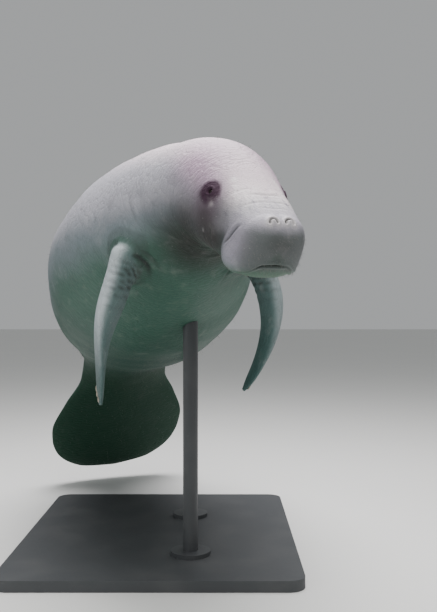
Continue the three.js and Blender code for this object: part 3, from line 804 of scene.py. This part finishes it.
def press_folds(skin):
    """Presses the armpits' folds into the joined skin along its normals, with a rolled edge beside each."""
    points, folds = get_points(skin) / MM, get_field(skin, "fold").astype(float)
    normals = values_of(skin.data.vertices, "normal", 3)
    height = np.zeros(len(points))
    for side in (-1, 1):
        for width, depth, line in ARMPIT_FOLDS:
            bent = bend(line_on_skin(line) * np.array((side, 1, 1)))
            around = np.linalg.norm(points - bent.mean(axis=0), axis=1) < ARMPIT_REACH
            nearest = np.linalg.norm(bent[:, None] - points[around][None], axis=2).argmin(axis=1)
            below, facing = points[around][nearest], normals[around][nearest]
            bent = bent + facing * np.einsum("ij,ij->i", below - bent, facing)[:, None]
            trench, rolls = groove(points[around], bent, width)
            height[around] += ARMPIT_ROLL_SHARE * depth * rolls - depth * trench
            # Painted shade in the pressed folds
            folds[around] = np.maximum(folds[around], ARMPIT_DARKNESS * depth * trench)
    points = points + normals * height[:, None]
    set_points(skin, points * MM)
    set_field(skin, "fold", folds)


# Eyes, nails and hairs


def eye_axes(side):
    """The eye's place in the bent body, its outward direction and two directions across it."""
    straight = eye_place(side)[None]
    out = outward(straight)
    height = relief(straight)[:, None]
    place = bend(straight + out * height)[0]
    ahead = bend(straight + out * (height + 1))[0]
    out = unit(ahead - place)
    across = unit(np.cross(out, (0, 0, 1)))
    return place, out, across, np.cross(out, across)


def ellipsoid(centre, axes, sizes, rings=28, columns=44):
    """A ball stretched along three axes, from its poles on the last axis."""
    lift = np.linspace(-np.pi / 2, np.pi / 2, rings + 2)[1:-1]
    turn, lift = np.meshgrid(np.linspace(0, 2 * np.pi, columns, endpoint=False), lift)
    shape = np.stack([np.cos(lift) * np.cos(turn), np.cos(lift) * np.sin(turn), np.sin(lift)], -1)
    shape = np.vstack([shape.reshape(-1, 3), [(0, 0, -1), (0, 0, 1)]])
    points = centre + (shape * sizes) @ np.array(axes)
    return points, facing_out(points, tube_faces(rings, columns)), shape


def surface_samples(skin, count, chance, seed):
    """Places on the skin with their normals, chosen among its faces by area times a chance."""
    faces = skin.data.polygons
    firsts = values_of(faces, "loop_start", kind=np.int32)
    corner = values_of(skin.data.loops, "vertex_index", kind=np.int32)[firsts]
    weight = values_of(faces, "area", kind=float) * chance(corner)
    picked = np.random.default_rng(seed).choice(len(faces), count, p=weight / weight.sum(), replace=False)
    centres, normals = (values_of(faces, name, 3, float)[picked] for name in ("center", "normal"))
    return centres, normals, corner[picked]


def hairs(name, roots, normals, lengths, radius, lean, seed):
    """Tapered tubes from their roots along the normal, leaning over more towards their tips."""
    chance = np.random.default_rng(seed)
    count = len(roots)
    scatter = unit(lean + chance.normal(0, 0.35, (count, 3)))
    t = np.linspace(0, 1, HAIR_RINGS)[None, :, None]
    bent = normals[:, None] * (t - 0.25 * t**2) + scatter[:, None] * 0.45 * t**2
    spine = roots[:, None] - normals[:, None] * HAIR_SINK + bent * lengths[:, None, None]
    side = unit(np.cross(normals, scatter + 0.01))
    other = np.cross(normals, side)
    turn = np.linspace(0, 2 * np.pi, HAIR_SIDES, endpoint=False)[:, None]
    ring = np.cos(turn) * side[:, None, None] + np.sin(turn) * other[:, None, None]
    thin = radius * (1 - 0.85 * t[..., None])
    points = (spine[:, :, None] + ring * thin).reshape(-1, 3)
    base = (np.arange(count) * HAIR_RINGS * HAIR_SIDES)[:, None, None]
    quads = (base + grid_faces(HAIR_RINGS, HAIR_SIDES)).reshape(-1, 4)
    starts = base[:, :, 0] + np.arange(HAIR_SIDES)
    tips = starts + (HAIR_RINGS - 1) * HAIR_SIDES
    faces = facing_out(points, [quads, starts[:, ::-1], tips])
    made = new_mesh(name, points / MM, faces)
    set_field(made, "tipward", np.broadcast_to(t, (count, HAIR_RINGS, HAIR_SIDES)).ravel())
    return made


def unwrap_hairs(made, straight):
    """The coat's own map: each hair is a small patch at its root's place on the skin's unrolled shape."""
    turn = np.arctan2(straight[:, 2], straight[:, 0]) / (2 * np.pi) + 0.5
    root = np.stack([0.02 + 0.96 * turn, 0.02 + 0.96 * np.clip(straight[:, 1] / (LENGTH * MM), 0, 1)], -1)
    ring, side = np.divmod(np.arange(HAIR_RINGS * HAIR_SIDES), HAIR_SIDES)
    patch = HAIR_PATCH * (np.stack([side / HAIR_SIDES, ring / HAIR_RINGS], -1) - 0.5)
    places = (root[:, None] + patch[None]).reshape(-1, 2)
    corners = values_of(made.data.loops, "vertex_index", kind=np.int32)
    layer = made.data.uv_layers.new(name="OFBake")
    layer.uv.foreach_set("vector", places[corners].astype(np.float32).ravel())


# Materials

PUPIL_COLOUR = (0.003, 0.003, 0.003, 1.0)
WORN_NAIL_COLOUR = (0.09, 0.085, 0.07, 1.0)


class Wire:
    """A socket of a finish; sums of wires and numbers add Math nodes to the tree."""

    def __init__(self, finish, socket):
        self.finish = finish
        self.socket = socket

    def maths(self, operation, *values):
        return self.finish.node("ShaderNodeMath", {"operation": operation}, dict(enumerate(values)))

    def __add__(self, other):
        return self.maths("ADD", self, other)

    def __radd__(self, other):
        return self.maths("ADD", other, self)

    def __sub__(self, other):
        return self.maths("SUBTRACT", self, other)

    def __rsub__(self, other):
        return self.maths("SUBTRACT", other, self)

    def __mul__(self, other):
        return self.maths("MULTIPLY", self, other)

    def eased(self, low, high):
        """0 below low, 1 above high and eased between; the other way round where low is the larger."""
        settings = {"interpolation_type": "SMOOTHSTEP", "data_type": "FLOAT"}
        if low < high:
            sockets = {"Value": self, "From Min": low, "From Max": high}
        else:
            sockets = {"Value": self, "From Min": high, "From Max": low, "To Min": 1.0, "To Max": 0.0}
        return self.finish.node("ShaderNodeMapRange", settings, sockets)


class Finish:
    """A material whose nodes are all made by one method."""

    def __init__(self, name):
        self.material = bpy.data.materials.new(name)
        self.material.use_nodes = True
        self.tree = self.material.node_tree
        self.shader = self.tree.nodes["Principled BSDF"]

    def node(self, kind, settings=None, sockets=None, out=0):
        """A node of a type, with its settings first and then the values or links of its sockets."""
        made = self.tree.nodes.new(kind)
        for name, value in (settings or {}).items():
            setattr(made, name, value)
        self.fill(made, sockets or {})
        return Wire(self, made.outputs[out])

    def fill(self, made, sockets):
        """Values and links into a node's sockets."""
        for name, value in sockets.items():
            if isinstance(value, Wire):
                self.tree.links.new(value.socket, made.inputs[name])
            else:
                made.inputs[name].default_value = value

    def field(self, name, out="Fac"):
        """A field of the mesh, as a number or a vector."""
        return self.node("ShaderNodeAttribute", {"attribute_name": name}, out=out)

    def place(self):
        """Object coordinates."""
        return self.node("ShaderNodeTexCoord", out="Object")

    def stretched(self, vector, scale):
        """Coordinates stretched along each axis."""
        return self.node("ShaderNodeMapping", None, {"Vector": vector, "Scale": scale})

    def noise(self, vector, scale, detail=3.0, roughness=0.55):
        """Cloudy noise from 0 to 1."""
        sockets = {"Vector": vector, "Scale": scale, "Detail": detail, "Roughness": roughness}
        return self.node("ShaderNodeTexNoise", None, sockets)

    def split(self, vector):
        """The three parts of a vector."""
        made = self.node("ShaderNodeSeparateXYZ", None, {0: vector}).socket.node
        return [Wire(self, part) for part in made.outputs]

    def cells(self, vector, scale):
        """Distance to the edges of irregular cells."""
        sockets = {"Vector": vector, "Scale": scale}
        return self.node("ShaderNodeTexVoronoi", {"feature": "DISTANCE_TO_EDGE"}, sockets)

    def mixed(self, first, second, share):
        """One colour turning into another."""
        sockets = {0: share, 6: first, 7: second}
        return self.node("ShaderNodeMix", {"data_type": "RGBA"}, sockets, out=2)

    def painted(self, colour, *layers):
        """A colour with others laid over it in turn, each with its share."""
        for over, share in layers:
            colour = self.mixed(colour, over, share)
        return colour

    def bumped(self, height, distance, strength, normal=None):
        """A normal from a height in parts of a distance in metres."""
        sockets = {"Height": height, "Distance": distance, "Strength": strength}
        if normal is not None:
            sockets["Normal"] = normal
        return self.node("ShaderNodeBump", None, sockets)

    def done(self, **sockets):
        """Fills the shader's own sockets, named with low lines for spaces."""
        self.fill(self.shader, {name.replace("_", " "): value for name, value in sockets.items()})
        return self.material


def skin_finish(looks):
    """Wrinkled hide: a pale pinkish back, lilac-grey flanks, green-grey belly, dark tail, darker downwards
    and towards the tail partly with painted shade.
    """
    f = Finish("manatee_hide")
    place, straight = f.place(), f.field("straight", "Vector")
    side, along, height = f.split(straight)
    limb_share, eye, rise = f.field("limb"), f.field("eye"), f.field("rise")
    cloud = f.noise(place, 4.5, 4.0)
    patches = f.noise(place, 15.0, 5.0, 0.6)
    fine = f.noise(f.stretched(straight, (1.0, 0.45, 1.0)), 70.0, 5.0, 0.65)
    grain = f.noise(place, 260.0, 3.0, 0.6)
    drift, mottle = cloud - 0.5, patches - 0.5

    # The trunk, from belly to back and to the tail; lengths are metres, as in the field of straight places
    # Darker downwards, towards the rear and on the tail: partly the hide's own tone, partly painted shade
    sloped = rise + drift * 0.35 + mottle * 0.12 - along.eased(0.45, 1.15) * 0.34
    tail = (along + drift * 0.5).eased(1.75, 2.35)
    upper = height.eased(-0.006, 0.016)
    rump = (along + drift * 0.6).eased(1.1, 2.25) * upper
    trunk = f.painted(
        looks.belly_colour,
        (looks.stern_colour, (along + drift * 0.4).eased(0.85, 1.5)),
        (looks.flank_colour, sloped.eased(-0.78, -0.25)),
        (looks.shoulder_colour, sloped.eased(-0.35, 0.0)),
        (looks.back_colour, sloped.eased(0.35, 0.95)),
        (looks.rump_colour, rump * 0.9),
        (looks.tail_colour, tail * (1.0 - upper * 0.82)),
    )

    # The muzzle and the flippers; the left flipper is darker, as it is in the photograph's light
    # The muzzle's front is darker: partly its own tone, partly painted shade where it faces down
    shaded_disc = along.eased(0.085, 0.012) * (height + mottle * 0.03).eased(0.084, 0.04)
    blade = f.painted(
        looks.flipper_colour,
        # Painted shade towards the tips, on the inner sides and over the whole left flipper
        (looks.flipper_tip_colour, f.field("reach").eased(0.35, 0.9) * 0.92),
        (looks.flipper_tip_colour, (f.field("palm") + mottle * 0.5).eased(-0.3, 0.5) * 0.85),
        (looks.flipper_tip_colour, side.eased(0.1, 0.2) * 0.5),
    )
    # Painted shadow round the flippers' roots, in the armpits
    armpit_shadow = limb_share * (1.0 - limb_share) * 4.0
    whole = f.painted(
        trunk,
        (looks.muzzle_colour, along.eased(0.17, 0.1) * rise.eased(-1.0, -0.3) * 0.9),
        (looks.disc_tone_and_shade_colour, shaded_disc * 0.92),
        # The lower jaw is darker and greener: partly its own tone, partly painted shade underneath
        (looks.chin_colour, along.eased(0.14, 0.08) * height.eased(-0.05, -0.085) * 0.8),
        (looks.crease_shade_and_mottle_colour, armpit_shadow.eased(0.75, 1.0) * 0.3),
        (blade, limb_share.eased(0.56, 0.96)),
    )

    # Marks, wear, wrinkles and painted shade in the cheeks, throat, creases, folds and openings
    ringed = (eye + (fine - 0.5) * 0.016).eased(0.046, 0.026)
    mesh_lines = f.cells(f.stretched(place, (1.0, 1.0, 1.7)), 105.0)
    off_body = 1.0 - along.eased(0.12, 0.3)
    wrinkles = f.cells(f.stretched(straight, (1.0, 3.0, 1.0)), 24.0) + off_body
    specks = f.noise(place, 110.0, 2.0, 0.7).eased(0.69, 0.76)
    mouth = f.field("mouth")
    shaded_openings = mouth.maths("MAXIMUM", mouth, f.field("nostril"))
    colour = f.painted(
        whole,
        (looks.blush_colour, f.field("blushed") * 0.95),
        # Painted shade on the cheeks, throat, round the eyes and on the muzzle's front
        (looks.shade_colour, f.field("shaded") * (0.8 + patches * 0.3)),
        (looks.eye_ring_colour, ringed * 0.97),
        (looks.pale_colour, f.field("pale") * fine.eased(0.3, 0.55)),
        (looks.pale_colour, f.field("nostril_rim") * 0.75),
        (looks.pale_colour, patches.eased(0.52, 0.8) * (1.0 - tail) * 0.13),
        (looks.crease_shade_and_mottle_colour, patches.eased(0.46, 0.22) * 0.22),
        # Painted shade in the grooves of the wrinkles and fine creases
        (looks.crease_shade_and_mottle_colour, wrinkles.eased(0.06, 0.0) * 0.16),
        (looks.crease_shade_and_mottle_colour, mesh_lines.eased(0.09, 0.0) * 0.12),
        (looks.crease_shade_and_mottle_colour, fine.eased(0.42, 0.25) * 0.25),
        (looks.pale_colour, specks * (1.0 - tail) * 0.22),
        # Painted shade in the folds, the arms' wrinkles and the armpits
        (looks.crease_shade_and_mottle_colour, f.field("fold") * 0.75),
        # Painted shade in the mouth's groove and the nostrils' slits
        (looks.opening_shade_colour, shaded_openings * 0.9),
    )
    depth = looks.wrinkle_strength
    coarse = f.bumped(wrinkles.eased(0.0, 0.2), 0.0022, depth)
    middle = f.bumped(mesh_lines.eased(0.0, 0.35), 0.0009, depth, coarse)
    normal = f.bumped(grain + fine * 3.0 + patches * 3.0, 0.0007, depth, middle)
    rough = 0.46 + patches * 0.2 + tail * 0.12 + ringed * 0.3
    return f.done(Base_Color=colour, Roughness=rough, Normal=normal, Specular_IOR_Level=0.26)


def eye_finish(looks):
    """A dark wet eye: a brown iris round a black pupil, seen through a clear coat."""
    f = Finish("wet_eye")
    away = f.field("from_pupil")
    streaks = f.noise(f.place(), 900.0, 3.0)
    iris_edge = away.eased(0.3, 0.6) * (0.6 + streaks * 0.6)
    iris = f.mixed(looks.iris_colour, looks.iris_edge_colour, iris_edge)
    colour = f.mixed(PUPIL_COLOUR, iris, away.eased(0.18, 0.26))
    rough = 0.06 + streaks * 0.05
    return f.done(
        Base_Color=colour, Roughness=rough, Specular_IOR_Level=0.15, Coat_Weight=0.25, Coat_Roughness=0.03
    )


def nail_finish(looks):
    """Worn horn, streaked along the nail."""
    f = Finish("nail_horn")
    place = f.place()
    streaks = f.noise(f.stretched(place, (1.0, 1.0, 0.25)), 420.0, 4.0)
    worn = f.noise(place, 130.0, 3.0)
    colour = f.mixed(looks.nail_colour, looks.nail_base_colour, streaks.eased(0.35, 0.7))
    colour = f.mixed(colour, WORN_NAIL_COLOUR, worn.eased(0.55, 0.8) * 0.7)
    normal = f.bumped(streaks, 0.0006, 0.7)
    return f.done(Base_Color=colour, Roughness=0.34 + worn * 0.25, Normal=normal)


def hair_finish(name, root_colour, tip_colour):
    """Hair, paler towards its tip."""
    f = Finish(name)
    tipward = f.field("tipward")
    vary = f.noise(f.place(), 70.0, 2.0)
    colour = f.mixed(root_colour, tip_colour, tipward * (0.7 + vary * 0.5))
    return f.done(Base_Color=colour, Roughness=0.42 + vary * 0.2)


def stand_finish(looks, name, polish):
    """Powder-coated steel: a fine orange-peel surface with faint dust and rubbed places."""
    f = Finish(name)
    place = f.place()
    peel = f.noise(place, 950.0, 2.0)
    cloud = f.noise(place, 6.0, 4.0)
    dust = f.noise(place, 60.0, 5.0, 0.65)
    colour = f.mixed(looks.stand_colour, looks.stand_worn_colour, cloud.eased(0.4, 0.75) * 0.2)
    colour = f.mixed(colour, looks.stand_worn_colour, dust.eased(0.58, 0.8) * 0.35)
    normal = f.bumped(peel, 0.0004, 0.5)
    rough = polish + cloud * 0.14 + dust * 0.08
    return f.done(Base_Color=colour, Roughness=rough, Normal=normal, Metallic=0.1)


def floor_finish(looks):
    """A plain pale floor, faintly mottled."""
    f = Finish("studio_floor")
    cloud = f.noise(f.place(), 0.9, 3.0)
    colour = f.mixed(looks.floor_colour, looks.floor_shade_colour, cloud * 0.4)
    return f.done(Base_Color=colour, Roughness=0.85)


# Settings


def colour_of(name, description, default):
    """A colour setting."""
    settings = {"size": 4, "min": 0.0, "max": 1.0, "subtype": "COLOR", "default": (*default, 1.0)}
    return bpy.props.FloatVectorProperty(name=name, description=description, **settings)


def number_of(name, description, default, **limits):
    """A number setting, not below 0 unless its limits say more."""
    settings = {"min": 0.0, **limits}
    return bpy.props.FloatProperty(name=name, description=description, default=default, **settings)


def length_of(name, description, default):
    """A length setting in metres."""
    return number_of(name, description, default, subtype="DISTANCE", unit="LENGTH")


def count_of(name, description, default):
    """A setting of how many."""
    return bpy.props.IntProperty(name=name, description=description, default=default, min=1)


class ManateeSkinLooks(bpy.types.PropertyGroup):
    """Colours of the hide and the strength of its wrinkles."""

    # From back to belly and tail, the darkening downwards and towards the tail is partly the hide's own
    # tone, partly painted shade
    back_colour: colour_of("Back", "Colour along the back", (0.64, 0.54, 0.58))
    stern_colour: colour_of("Rear belly", "Colour of the belly towards the tail", (0.016, 0.066, 0.045))
    shoulder_colour: colour_of("Shoulder", "Colour high on the sides", (0.37, 0.365, 0.405))
    flank_colour: colour_of("Flank", "Colour low on the sides", (0.19, 0.225, 0.245))
    belly_colour: colour_of("Belly", "Colour of the belly and throat", (0.052, 0.125, 0.092))
    tail_colour: colour_of("Tail", "Colour of the tail", (0.004, 0.034, 0.017))
    rump_colour: colour_of("Rump", "Colour of the upper side towards the tail", (0.15, 0.165, 0.165))
    muzzle_colour: colour_of("Muzzle", "Colour of the muzzle's top and sides", (0.33, 0.32, 0.375))
    # Partly the muzzle front's own tone, partly painted shade
    disc_tone_and_shade_colour: colour_of("Disc", "Colour of the muzzle's front", (0.088, 0.105, 0.1))
    chin_colour: colour_of("Chin", "Colour of the lower jaw", (0.075, 0.145, 0.1))
    flipper_colour: colour_of("Flippers", "Colour of the flippers", (0.44, 0.49, 0.51))
    # Painted shade of the flippers' tips, their inner sides and the left flipper
    flipper_tip_colour: colour_of("Flipper tips", "Flippers' tips and inner sides", (0.035, 0.085, 0.078))
    eye_ring_colour: colour_of("Eye ring", "Skin round the eyes", (0.040, 0.016, 0.034))
    blush_colour: colour_of("Blush", "Purplish skin at the temples", (0.3, 0.19, 0.28))
    # Painted shade, brownish, on the cheeks, throat, round the eyes and on the muzzle's front
    shade_colour: colour_of("Cheeks", "Brownish skin of the cheeks", (0.024, 0.02, 0.019))
    # Painted shade in folds and creases, and also the darker random mottling of the hide
    crease_shade_and_mottle_colour: colour_of("Creases", "Colour deep in folds", (0.03, 0.04, 0.036))
    # Painted shade in the mouth and nostrils
    opening_shade_colour: colour_of("Mouth", "Colour inside the mouth and nostrils", (0.01, 0.016, 0.01))
    # Rubbed skin, and also painted light on the top of the bridge
    pale_colour: colour_of("Pale marks", "Colour of rubbed skin", (0.74, 0.7, 0.7))
    wrinkle_strength: number_of("Wrinkle strength", "Depth of the fine wrinkles", 0.5, max=1.0)


class ManateeDetailLooks(bpy.types.PropertyGroup):
    """Sizes and colours of the eyes, nails and hairs."""

    eye_radius: length_of("Eye radius", "Radius of an eyeball", 0.011)
    iris_colour: colour_of("Iris", "Colour of the iris", (0.014, 0.007, 0.005))
    iris_edge_colour: colour_of("Iris edge", "Colour of the iris's edge", (0.005, 0.004, 0.004))
    nail_colour: colour_of("Nails", "Colour of the nails", (0.4, 0.36, 0.28))
    nail_base_colour: colour_of("Nail streaks", "Darker streaks of the nails", (0.2, 0.175, 0.13))
    bristle_count: count_of("Bristles", "Stiff hairs on the muzzle", 620)
    bristle_length: length_of("Bristle length", "Length of a muzzle bristle", 0.012)
    bristle_colour: colour_of("Bristles", "Colour of the bristles", (0.13, 0.13, 0.12))
    hair_count: count_of("Body hairs", "Single hairs over the body", 1500)
    hair_length: length_of("Hair length", "Length of a body hair", 0.026)
    hair_colour: colour_of("Hairs", "Colour of the body hairs", (0.12, 0.12, 0.115))


class ManateeStageLooks(bpy.types.PropertyGroup):
    """Stand colours, floor, lights and camera."""

    stand_colour: colour_of("Stand", "Colour of the stand", (0.05, 0.054, 0.058))
    stand_worn_colour: colour_of("Stand wear", "Rubbed and dusty places of the stand", (0.13, 0.13, 0.128))
    floor_colour: colour_of("Floor", "Colour of the floor", (0.74, 0.74, 0.72))
    floor_shade_colour: colour_of("Floor shade", "Second colour of the floor", (0.66, 0.665, 0.65))
    lens: number_of("Lens", "Focal length of the camera in millimetres", 47.06, min=1.0)
    key_power: number_of("Key light", "Power of the main light", 125.0, unit="POWER")
    top_power: number_of("Top light", "Power of the light overhead", 260.0, unit="POWER")
    fill_power: number_of("Fill light", "Power of the weak light from the left", 20.0, unit="POWER")
    world_strength: number_of("Surroundings", "Brightness of the surroundings", 0.5)


# Operators


class MANATEE_OT_skin(bpy.types.Operator):
    """Builds the one skin of body and flippers, with folds, lips, nostrils and lids"""

    bl_idname = "manatee.skin"
    bl_label = "Skin"

    def execute(self, context):
        skin = make_body()
        join_flippers(skin, [make_flipper(-1), make_flipper(1)])
        soften_roots(skin)
        press_folds(skin)
        skin.data.polygons.foreach_set("use_smooth", np.ones(len(skin.data.polygons), bool))
        finish_piece(skin, "skin", skin_finish(context.scene.manatee_skin), *FLESH)
        return {"FINISHED"}


class MANATEE_OT_eyes(bpy.types.Operator):
    """Builds both eyeballs with iris and pupil"""

    bl_idname = "manatee.eyes"
    bl_label = "Eyes"

    def execute(self, context):
        looks = context.scene.manatee_details
        material = eye_finish(looks)
        radius = looks.eye_radius / MM
        for side, word in SIDES.items():
            place, out, across, top = eye_axes(side)
            points, faces, shape = ellipsoid(place - out * EYE_SINK, (across, top, out), (radius,) * 3)
            made = new_mesh(f"eye_{word}_ball", points, faces)
            set_field(made, "from_pupil", np.hypot(shape[:, 0], shape[:, 1]) + (shape[:, 2] < 0))
            finish_piece(made, "eye", material, f"eye_{word}")
        return {"FINISHED"}


class MANATEE_OT_nails(bpy.types.Operator):
    """Builds the three ridged nails of each flipper"""

    bl_idname = "manatee.nails"
    bl_label = "Nails"

    def execute(self, context):
        material = nail_finish(context.scene.manatee_details)
        for side, word in SIDES.items():
            for number, (t, across) in enumerate(NAILS, 1):
                centre, chord, outer, half, thick = limb(side, np.array([t]))
                place = centre + chord * half * across + outer * thick * np.sqrt(1 - across**2)
                axes = chord[0], np.cross(outer, chord)[0], outer[0]
                points, faces, shape = ellipsoid(place[0], axes, NAIL_SIZES, 18, 40)
                ridges = NAIL_RIDGE * np.sin(NAIL_RIDGE_TURNS * shape[:, 0])
                ridges = ridges * (shape[:, 2] > 0) * (1 - shape[:, 0] ** 2)
                points = points + ridges[:, None] * outer[0]
                made = new_mesh(f"nail_{word}_{number}_horn", points, faces)
                finish_piece(made, "nail", material, f"nail_{word}_{number}")
        return {"FINISHED"}


class MANATEE_OT_hairs(bpy.types.Operator):
    """Sets the stiff bristles of the muzzle and the sparse single hairs of the body"""

    bl_idname = "manatee.hairs"
    bl_label = "Hairs"

    def execute(self, context):
        looks = context.scene.manatee_details
        skin = bpy.data.objects["skin"]
        straight, limb_share = get_field(skin, "straight"), get_field(skin, "limb")
        eye, mouth = get_field(skin, "eye"), get_field(skin, "mouth")
        x, back, z = straight.T

        def on_muzzle(corner):
            front = 1 - smooth((back[corner] - 0.09) / 0.05)
            low = 1 - smooth((z[corner] - 0.045) / 0.03)
            return front * low * (mouth[corner] < 0.2) * (limb_share[corner] < 0.1)

        def on_body(corner):
            clear = (eye[corner] > 0.022) & (back[corner] > 0.06) & (mouth[corner] < 0.2)
            return clear * np.where(back[corner] < 0.5, 1.6, 1.0) * (limb_share[corner] < 0.6)

        sets = (
            ("muzzle_bristles", "bristle", on_muzzle, BRISTLE_RADIUS, 11),
            ("body_hairs", "hair", on_body, HAIR_RADIUS, 12),
        )
        for name, kind, chance, radius, seed in sets:
            settings = (getattr(looks, f"{kind}_{part}") for part in ("count", "length", "colour"))
            count, length, colour = settings
            roots, normals, corner = surface_samples(skin, count, chance, seed)
            lengths = length * np.random.default_rng(seed + 20).uniform(0.55, 1.15, count)
            made = hairs(name, roots, normals, lengths, radius, np.array((0.0, 0.6, -0.5)), seed)
            unwrap_hairs(made, straight[corner])
            pale = tuple(1.4 * c for c in colour[:3]) + (1.0,)
            finish_piece(made, "skin", hair_finish(name, tuple(colour), pale))
        return {"FINISHED"}


class MANATEE_OT_stand(bpy.types.Operator):
    """Finishes the base plate and the two rods of the display stand"""

    bl_idname = "manatee.stand"
    bl_label = "Stand"

    def execute(self, context):
        looks = context.scene.manatee_stage
        plate, rods = stand_finish(looks, "coated_plate", 0.5), stand_finish(looks, "coated_rod", 0.36)
        for name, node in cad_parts.items():
            if name.startswith("stand_"):
                node.data.materials.clear()
                node.data.materials.append(plate if name == "stand_base" else rods)
        return {"FINISHED"}


def area_light(name, place, target, size, power, colour):
    """A soft round light at a place, turned to a target."""
    data = bpy.data.lights.new(name, "AREA")
    data.shape = "DISK"
    data.size = size
    data.energy = power
    data.color = colour
    made = bpy.data.objects.new(name, data)
    bpy.context.scene.collection.objects.link(made)
    towards = unit(np.array(target) - np.array(place))
    made.location = place
    made.rotation_euler = (np.arccos(-towards[2]), 0, np.arctan2(towards[1], towards[0]) - np.pi / 2)


class MANATEE_OT_stage(bpy.types.Operator):
    """Sets the floor, the soft lights and the camera of the photograph's view"""

    bl_idname = "manatee.stage"
    bl_label = "Stage"

    def execute(self, context):
        looks = context.scene.manatee_stage
        steps = np.linspace(-FLOOR_HALF, FLOOR_HALF, FLOOR_POINTS)
        x, y = np.meshgrid(steps, steps)
        points = np.stack([x, y, np.zeros_like(x)], -1).reshape(-1, 3) / MM
        index = np.arange(FLOOR_POINTS**2).reshape(FLOOR_POINTS, FLOOR_POINTS)
        quads = np.stack([index[:-1, :-1], index[:-1, 1:], index[1:, 1:], index[1:, :-1]], -1)
        floor = new_mesh("studio_floor", points, [quads.reshape(-1, 4)])
        floor.data.materials.append(floor_finish(looks))
        area_light("key", (0.5, -2.7, 4.2), (0.15, -0.5, 1.0), 2.4, looks.key_power, (1.0, 0.985, 0.96))
        area_light("top", (0.1, 0.4, 4.2), (0.1, 0.1, 1.0), 3.0, looks.top_power, (1.0, 0.98, 1.0))
        area_light("fill", (-3.2, -2.6, 1.6), (0.0, 0.0, 0.9), 2.6, looks.fill_power, (0.9, 0.97, 1.0))
        world = bpy.data.worlds.new("studio")
        world.use_nodes = True
        backdrop = world.node_tree.nodes["Background"]
        backdrop.inputs["Color"].default_value = (0.8, 0.82, 0.83, 1.0)
        backdrop.inputs["Strength"].default_value = looks.world_strength
        context.scene.world = world
        data = bpy.data.cameras.new("photo_view")
        data.lens = looks.lens
        data.sensor_width = SENSOR
        camera = bpy.data.objects.new("photo_view", data)
        context.scene.collection.objects.link(camera)
        camera.location = CAMERA_PLACE
        camera.rotation_euler = (np.pi / 2, 0, 0)
        context.scene.camera = camera
        return {"FINISHED"}


class MANATEE_PT_pieces(bpy.types.Panel):
    """Lists the pieces in the sidebar"""

    bl_label = "Manatee"
    bl_idname = "MANATEE_PT_pieces"
    bl_space_type = "VIEW_3D"
    bl_region_type = "UI"
    bl_category = "Manatee"

    def draw(self, context):
        for operator in PIECES:
            self.layout.operator(operator.bl_idname)


PIECES = (
    MANATEE_OT_skin,
    MANATEE_OT_eyes,
    MANATEE_OT_nails,
    MANATEE_OT_hairs,
    MANATEE_OT_stand,
    MANATEE_OT_stage,
)
SETTINGS = {
    "manatee_skin": ManateeSkinLooks,
    "manatee_details": ManateeDetailLooks,
    "manatee_stage": ManateeStageLooks,
}


def register():
    """Makes the settings, operators and panel known."""
    for name, group in SETTINGS.items():
        bpy.utils.register_class(group)
        setattr(bpy.types.Scene, name, bpy.props.PointerProperty(type=group))
    for made in (*PIECES, MANATEE_PT_pieces):
        bpy.utils.register_class(made)


def unregister():
    """Takes them away again."""
    for made in (MANATEE_PT_pieces, *reversed(PIECES)):
        bpy.utils.unregister_class(made)
    for name, group in reversed(SETTINGS.items()):
        delattr(bpy.types.Scene, name)
        bpy.utils.unregister_class(group)


def main():
    """Builds every piece in order."""
    register()
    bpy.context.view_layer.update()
    bpy.ops.manatee.skin()
    bpy.ops.manatee.eyes()
    bpy.ops.manatee.nails()
    bpy.ops.manatee.hairs()
    bpy.ops.manatee.stand()
    bpy.ops.manatee.stage()


if __name__ == "__main__":
    main()
